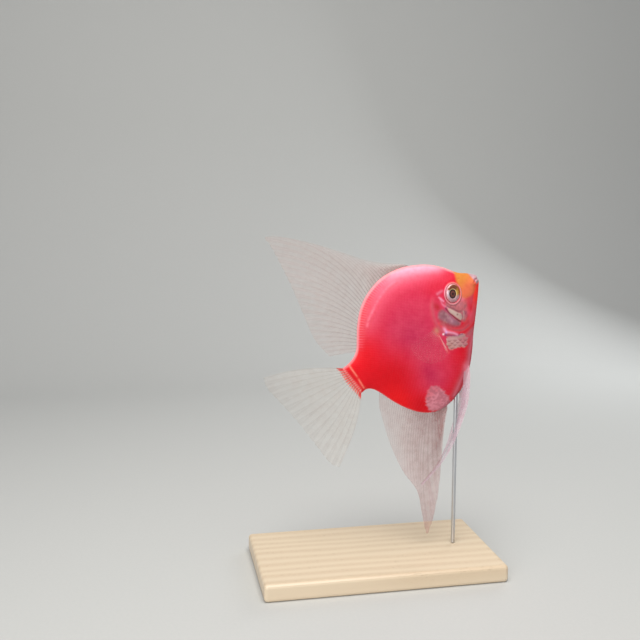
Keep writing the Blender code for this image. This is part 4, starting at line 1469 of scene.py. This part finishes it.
def split_rays(number, out, spines, width):
    """How strongly each place is on a ray: number counts the rays across, out runs to the margin."""
    nearest = np.round(number)
    soft = nearest >= spines
    spread = 0.17 * ease(FIRST_SPLIT, 1.0, out) * soft
    finer = 0.075 * ease(SECOND_SPLIT, 1.0, out) * soft
    strength = np.zeros(number.shape)
    for first in (-1, 1):
        for second in (-1, 1):
            off = number - nearest - first * spread - second * finer
            strength = np.maximum(strength, np.exp(-((off / width) ** 2)))
    return strength, soft

# %% Colours of the fins
BASE_RED, BASE_CORAL, BASE_DARK = srgb(214, 36, 38), srgb(240, 92, 80), srgb(168, 24, 26)
GAP_CREAM = srgb(232, 206, 190)
PELVIC_ROOT, PECTORAL_ROOT = srgb(226, 140, 152), srgb(226, 120, 110)
FRONT_FILM = {"dorsal": srgb(164, 126, 122), "anal": srgb(146, 98, 98), "tail": srgb(164, 126, 122)}
FIN_COLOURS = {  # the film, the rays near the body and the rays near the margin
    "dorsal": (srgb(196, 172, 164), srgb(140, 104, 104), srgb(196, 170, 164)),
    "anal": (srgb(190, 152, 146), srgb(146, 98, 100), srgb(190, 148, 148)),
    "tail": (srgb(212, 204, 194), srgb(178, 164, 152), srgb(190, 180, 170)),
    "pelvic": (srgb(216, 186, 198), srgb(206, 152, 168), srgb(196, 180, 202)),
    "pectoral": (srgb(226, 200, 196), srgb(226, 180, 176), srgb(226, 200, 196)),
}


def fin_tint(kind, on_ray, out):
    """Film and rays in their colours; out is 0 at the body and 1 at the margin."""
    film, near, far = FIN_COLOURS[kind]
    return washed(film, washed(near, far, out), on_ray)


print("kinds of fin:", len(FIN_COLOURS))

# %% [markdown]
# ### The fins on the middle plane
# Each ray is a bowed line from its place on the base to its place on the margin. A few rays are
# given and the others fall between them. At the tail's base the flesh runs out along the rays in
# red teeth, which are tint and opacity, so that the film between them stays thin.

# %% A fin on the middle plane
FILM_THICKNESS, RAY_THICKNESS = 0.1 * MM, 0.26 * MM
RAY_SHARE = 0.1  # of the gap from ray to ray
RAY_STEPS = 64  # points along each ray
RAY_JOINT = 0.9 * MM  # from joint to joint along a ray
FIN_SUNK = 0.014  # how far a fin's base runs on into the body
FIN_WAVE = 0.01  # how far the loose part of a fin drifts to either side, in lengths


def teeth_of(at, number, out, length):
    """Red teeth along the rays' roots: where they are, where the gaps are, and the gaps' colour."""
    aside = np.abs(number - np.round(number))[:, None]
    outermost = ease(0.82, 1.0, np.abs(2 * at - 1))[:, None]
    down = np.maximum(out, 0) / max(length, 1e-6) / (1 + 0.5 * outermost)
    tooth = ease(0.42, 0.3, aside - 0.25 * outermost + (0.24 - 0.1 * outermost) * down**2)
    tooth = tooth * ease(1.0, 0.55, down) * (length > 0)
    gap = ease(0.9, 0.2, down) * (1 - tooth) * (length > 0)
    gap_colour = washed(BASE_DARK, GAP_CREAM, ease(0.0, 0.25, down))
    opacity = 0.7 * tooth + (0.4 + 0.5 * ease(0.6, 0.1, down)) * gap
    return tooth, gap, gap_colour, washed(BASE_RED, BASE_CORAL, aside < 0.12), opacity


def median_fin(kind, root, rays, count, spines, teeth, body, ray_opacity, lean=0.0, between=10):
    """A fin on the middle plane: bowed rays, red for the length of the teeth, out to their tips."""
    roots = outline_between(*root, 400)
    ends = through(np.array([(at, *tip, bow) for at, tip, bow in rays]), 24)
    number = np.linspace(0, count - 1, (count - 1) * between + 1)
    at = number / (count - 1)
    tip_u, tip_v, bow = [np.interp(at, ends[:, 0], ends[:, k]) for k in (1, 2, 3)]
    start = np.stack([np.interp(at, np.linspace(0, 1, 400), roots[:, k]) for k in (0, 1)], 1)
    chord = np.stack([tip_u, tip_v], 1) - start
    reach = np.linalg.norm(chord, axis=1)[:, None]
    t = np.linspace(0, 1, RAY_STEPS)[None, :] ** 0.9
    t = -FIN_SUNK / reach + (1 + FIN_SUNK / reach) * t
    on_ray, soft = split_rays(np.broadcast_to(number[:, None], t.shape), t, spines, RAY_SHARE)
    t = t * (1 - 0.012 * (1 - on_ray) * ease(0.9, 1.0, t))
    out = np.clip(t, 0, 1)
    bend = 4 * t * (1 - t) * bow[:, None]
    u = start[:, :1] + chord[:, :1] * t + chord[:, 1:] * bend
    v = start[:, 1:] + chord[:, 1:] * t - chord[:, :1] * bend
    aside = (lean + FIN_WAVE * np.sin(9 * u + 7 * v)) * ease(0.1, 1.0, t)
    joints = 0.5 + 0.5 * np.cos(2 * math.pi * t * reach * LENGTH / RAY_JOINT)
    joints = np.where(soft & (t > 0.15), joints, 1.0)
    ridges = RAY_THICKNESS * (1 - 0.72 * out) * on_ray * (0.93 + 0.07 * joints)
    tooth, gap, gap_colour, tooth_colour, opacity = teeth_of(at, number, t * reach, teeth)
    veil = body(at[:, None], t)
    tint = fin_tint(kind, on_ray, np.clip(t * 1.5, 0, 1))
    tint = washed(tint, FRONT_FILM[kind], 0.6 * ease(0.2, 0.48, veil))
    tint = washed(washed(tint, gap_colour, gap), tooth_colour, tooth)
    values = {"tint": tint, "ray": on_ray * ray_opacity * (1 - 0.7 * out), "body": veil + opacity}
    middle = np.stack([u, aside, v], 2) * LENGTH
    fin_piece(kind + "_fin", middle, FILM_THICKNESS * (1 - 0.4 * t) + ridges, values)

# %% Dorsal, anal and tail fins
DORSAL_RAYS = [
    (0.0, (0.668, 0.388), 0.02), (0.12, (0.585, 0.462), 0.03), (0.24, (0.5, 0.565), 0.05),
    (0.34, (0.425, 0.68), 0.06), (0.42, (0.325, 0.83), 0.09), (0.46, (0.215, 0.97), 0.11),
    (0.49, (0.117, 1.058), 0.11), (0.53, (0.103, 0.985), 0.11), (0.6, (0.08, 0.87), 0.09),
    (0.7, (0.042, 0.71), 0.07), (0.8, (-0.01, 0.53), 0.05), (0.9, (-0.05, 0.37), 0.04),
    (1.0, (-0.045, 0.225), 0.03),
]
ANAL_RAYS = [
    (0.0, (0.318, -0.548), 0.0), (0.08, (0.226, -0.634), 0.0), (0.16, (0.08, -0.802), 0.01),
    (0.23, (-0.11, -0.985), 0.03), (0.28, (-0.29, -1.125), 0.04), (0.34, (-0.235, -0.985), 0.04),
    (0.42, (-0.165, -0.84), 0.04), (0.54, (-0.155, -0.69), 0.03), (0.68, (-0.125, -0.55), 0.02),
    (0.83, (-0.08, -0.41), 0.02), (1.0, (-0.01, -0.235), 0.0),
]
TAIL_RAYS = [
    (0.0, (-0.445, 0.395), 0.05), (0.12, (-0.47, 0.325), 0.03), (0.3, (-0.465, 0.19), 0.02),
    (0.5, (-0.462, 0.015), 0.0), (0.7, (-0.47, -0.165), -0.02), (0.88, (-0.475, -0.31), -0.03),
    (1.0, (-0.45, -0.38), -0.05),
]


def dorsal_body(at, t):
    thick_front = ease(0.55, 0.05, at) * ease(0.75, 0.05, t)
    return 0.17 + 0.34 * thick_front - 0.07 * ease(0.4, 1.0, t)


def anal_body(at, t):
    front = ease(0.26, 0.1, at) * ease(1.0, 0.5, t)
    near_body = ease(0.3, 0.0, t) * ease(0.75, 0.3, at)
    thin = 0.08 * ease(0.4, 1.0, t)
    return 0.19 + 0.14 * ease(0.75, 0.35, at) + 0.32 * front + 0.12 * near_body - thin


def tail_body(at, t):
    return 0.17 - 0.06 * ease(0.4, 1.0, t)


median_fin("dorsal", DORSAL_ROOT, DORSAL_RAYS, DORSAL_RAY_COUNT, 12, 0.0, dorsal_body, 0.2)
median_fin("anal", ANAL_ROOT, ANAL_RAYS, ANAL_RAY_COUNT, 6, 0.0, anal_body, 0.18)
median_fin("tail", TAIL_FIN_ROOT, TAIL_RAYS, TAIL_RAY_COUNT, 0, 0.032, tail_body, 0.12,
           lean=0.03, between=20)

# %% [markdown]
# ## The paired fins
# The pelvic fins hang from the chest: a narrow blade that runs out into a long thread. The pectoral
# fins, behind the gill covers, are clear fans that a swimming fish beats all the time.

# %% Pelvic fins
PELVIC_PATH = [
    (0.6, 0.03, -0.385), (0.566, 0.04, -0.427), (0.508, 0.048, -0.49), (0.43, 0.052, -0.568),
    (0.362, 0.055, -0.618), (0.29, 0.058, -0.666), (0.19, 0.058, -0.728), (0.085, 0.052, -0.772),
    (-0.015, 0.044, -0.796), (-0.12, 0.04, -0.812),
]
PELVIC_WIDTHS = [0.034, 0.046, 0.05, 0.046, 0.038, 0.028, 0.018, 0.012, 0.011, 0.01]
PELVIC_SWING = {"left": (0.004, 0, -0.033), "right": (0, 0, 0)}  # the left one hangs a little lower


def pelvic_fin(label, side, steps=150, points_across=41):
    """A blade that narrows to a thread, with five rays along it, joined at the root."""
    path = through(np.array(PELVIC_PATH) * (1, side, 1), 24)
    path += ease(0.05, 0.35, np.linspace(0, 1, len(path)))[:, None] * PELVIC_SWING[label]
    path[:, 1] -= side * 0.02 * np.exp(-np.arange(len(path)) / 14)
    path = spread_evenly(path, steps)
    t = np.linspace(0, 1, steps)[:, None]
    widths = np.interp(t, np.linspace(0, 1, len(PELVIC_WIDTHS)), PELVIC_WIDTHS)
    along = np.gradient(path, axis=0)
    sideways = np.stack([-along[:, 2], np.zeros(steps), along[:, 0]], 1)
    sideways /= np.linalg.norm(sideways, axis=1)[:, None]
    share = np.linspace(-0.5, 0.5, points_across)
    middle = path[:, None] + sideways[:, None] * (widths * share)[..., None]
    middle[..., 1] += side * 0.006 * (share**2 * 4 - 0.3) * np.minimum(widths / 0.03, 1)
    number = (share + 0.5) * 5 * np.ones((steps, 1))
    on_ray = np.exp(-(((number - np.round(number)) / 0.16) ** 2))
    edge = np.sqrt(np.clip(1 - (2 * share) ** 2, 0.04, 1))
    near_base = np.exp(-t / 0.05) * np.ones(points_across)
    tint = fin_tint("pelvic", on_ray, t * np.ones(points_across))
    values = {
        "tint": washed(tint, PELVIC_ROOT, near_base),
        "ray": on_ray * 0.12,
        "body": 0.44 - 0.16 * t + 0.2 * near_base,
    }
    thick = (0.14 + 0.18 * on_ray * (1 - 0.6 * t)) * edge * MM
    fin_piece(f"pelvic_fin_{label}", middle * LENGTH, thick, values)

# %% Pectoral fins
PECTORAL_TOP, PECTORAL_LOW = (0.56, -0.05), (0.566, -0.1)
PECTORAL_FAN = (math.radians(166), math.radians(258))
PECTORAL_LENGTHS = (0.245, 0.15)
PECTORAL_SPREAD = math.radians(24)
PECTORAL_RAY_COUNT = 12


def pectoral_fin(label, side, between=10, steps=44):
    """A clear fan on a short fleshy root, held off the flank."""
    number = np.linspace(0, PECTORAL_RAY_COUNT - 1, (PECTORAL_RAY_COUNT - 1) * between + 1)[:, None]
    across = number / (PECTORAL_RAY_COUNT - 1)
    first_and_last = zip(PECTORAL_TOP + (PECTORAL_FAN[0], PECTORAL_LENGTHS[0]),
                         PECTORAL_LOW + (PECTORAL_FAN[1], PECTORAL_LENGTHS[1]))
    root_u, root_v, angle, length = [a * (1 - across) + b * across for a, b in first_and_last]
    length = length * (0.8 + 0.28 * np.sin(math.pi * across) ** 0.6)
    t = np.linspace(-0.03, 1, steps) * np.ones(number.shape)
    on_ray, _ = split_rays(number * np.ones(steps), t, 1, 0.13)
    t = t * (1 - 0.015 * (1 - on_ray) * ease(0.9, 1.0, t))
    out = np.clip(t, 0, 1)
    reach = length * t * math.cos(PECTORAL_SPREAD)
    flank_side = read(FLANK, *on_grid(root_u, root_v))[..., 1] / LENGTH
    aside = flank_side + 0.012 * ease(-0.03, 0.12, t) - 0.008
    aside = aside + length * t * math.sin(PECTORAL_SPREAD) * (1 - 0.25 * t)
    u, v = root_u + np.cos(angle) * reach, root_v + np.sin(angle) * reach
    near_base = np.exp(-out / 0.07)
    front_ray = ease(0.9, 0.97, across) * ease(1.0, 0.6, out)
    values = {
        "tint": washed(fin_tint("pectoral", on_ray, out), PECTORAL_ROOT, near_base),
        "ray": on_ray * 0.02 * (1 - 0.6 * out),
        "body": 0.006 + 0.22 * near_base + 0.2 * front_ray,
    }
    thick = (0.1 + 0.12 * on_ray * (1 - 0.7 * out)) * MM
    fin_piece(f"pectoral_fin_{label}", np.stack([u, side * aside, v], 2) * LENGTH, thick, values)


for label, side in SIDES:
    pelvic_fin(label, side)
    pectoral_fin(label, side)

# %% [markdown]
# ## The stand
# The stand is a block of pale ash and a thin steel rod, as plain as can be, so that the eye goes to
# the fish. The wood's grain is long rings seen from the side: noise stretched along the block.

# %% Wood and steel
def ash_finish():
    finish, start, place = new_finish("pale_ash")
    lengthwise = drawn_out(place, 9.0, 60.0, 60.0)
    wave = {"Vector": lengthwise, "Scale": 1.1, "Distortion": 5.0, "Detail": 3}
    rings = start.node("TexWave", wave, out=1, bands_direction="Y")
    pores = noise(drawn_out(place, 500.0, 6000.0, 6000.0), 1.0)
    pored = pores.between(0.6, 0.72) * rings.between(0.3, 0.9)
    colour = (rings * 0.55).mix(srgb(216, 198, 172), srgb(196, 170, 138))
    colour = (noise(lengthwise, 1.6) * 0.5).mix(colour, srgb(222, 202, 172))
    cover_with(
        start,
        Base_Color=(pored * 0.55).mix(colour, srgb(140, 108, 78)),
        Roughness=0.42 + pored * 0.25,
        Normal=bumped(start, 1 - pored, 0.04 * MM, 0.6),
        Coat_Weight=0.15,
        Coat_Roughness=0.3,
    )
    return finish


def steel_finish():
    finish, start, place = new_finish("brushed_steel")
    brushing = noise(drawn_out(place, 9000.0, 9000.0, 150.0), 1.0)
    cover_with(
        start,
        Base_Color=brushing.mix(srgb(176, 178, 182), srgb(214, 216, 220)),
        Metallic=1.0,
        Roughness=0.24 + brushing * 0.14,
        Normal=bumped(start, brushing, 0.01 * MM, 0.3),
    )
    return finish


for node, finish in (("stand_base", ash_finish()), ("stand_rod", steel_finish())):
    stand_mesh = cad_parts[node].data
    stand_mesh.materials.clear()
    stand_mesh.materials.append(finish)
    print(node, "finish:", finish.name)

# %% [markdown]
# ## Floor and light
# A sheet of pale paper, curved up behind the model, gives no corner for the eye to catch on. Large
# soft lamps stand in for a bright room: one overhead, one beside the camera and a low one behind.

# %% Backdrop
BACKDROP_BEHIND, BACKDROP_CURVE = 0.5, 0.2
BACKDROP_REACH = 1.6  # to each side, to the front and upwards


def paper_finish():
    finish, start, place = new_finish("backdrop_paper")
    fibre = noise(place, 900, 3)
    cover_with(
        start,
        Base_Color=fibre.mix(srgb(186, 187, 184), srgb(192, 192, 189)),
        Roughness=0.85,
        Normal=bumped(start, fibre, 0.1 * MM, 0.2),
    )
    return finish


def build_backdrop():
    bend = np.linspace(-math.pi / 2, 0, 17)
    curve = np.stack([
        BACKDROP_BEHIND - BACKDROP_CURVE + BACKDROP_CURVE * np.cos(bend),
        BACKDROP_CURVE + BACKDROP_CURVE * np.sin(bend)], 1)
    profile = np.vstack([[-BACKDROP_REACH, 0.0], curve, [BACKDROP_BEHIND, BACKDROP_REACH]])
    points = [(x, y, z) for x in (-BACKDROP_REACH, BACKDROP_REACH) for y, z in profile]
    n = len(profile)
    faces = [(k, k + n, k + n + 1, k + 1) for k in range(n - 1)]
    mesh = new_mesh("backdrop", np.array(points), faces)
    mesh.materials.append(paper_finish())
    into_scene("backdrop", mesh)
    print("backdrop faces:", len(faces))


build_backdrop()

# %% Lamps
def lamp(name, offset, size, power, colour):
    """A round soft lamp that points at the fish's middle, set off from it."""
    light = bpy.data.lights.new(name, "AREA")
    light.shape, light.size, light.energy, light.color = "DISK", size, power, colour
    hung = into_scene(name, light)
    hung.location = fish_middle + Vector(offset)
    hung.rotation_euler = (hung.location - fish_middle).to_track_quat("Z", "Y").to_euler()
    return hung


fish_middle = TAIL_ROOT + tipped @ Vector((0.45 * LENGTH, 0, 0))
lamp("overhead", (-0.03, -0.12, 0.42), 0.34, 2.3, (1.0, 0.98, 0.95))
lamp("beside_camera", (-0.34, -0.46, 0.1), 0.4, 1.9, (1.0, 0.97, 0.94))
low_lamp = lamp("low_behind", (0.3, 0.34, 0.14), 0.24, 0.7, (0.94, 0.97, 1.0))
low_lamp.visible_glossy = False  # its reflection would fill the far pupil

room = bpy.data.worlds.new("room")
bpy.context.scene.world = room
room.use_nodes = True
sky = room.node_tree.nodes["Background"].inputs
sky["Color"].default_value, sky["Strength"].default_value = (0.9, 0.93, 1.0, 1), 0.34
bpy.context.scene.view_settings.view_transform = "Standard"
print("lamps:", len(bpy.data.lights))
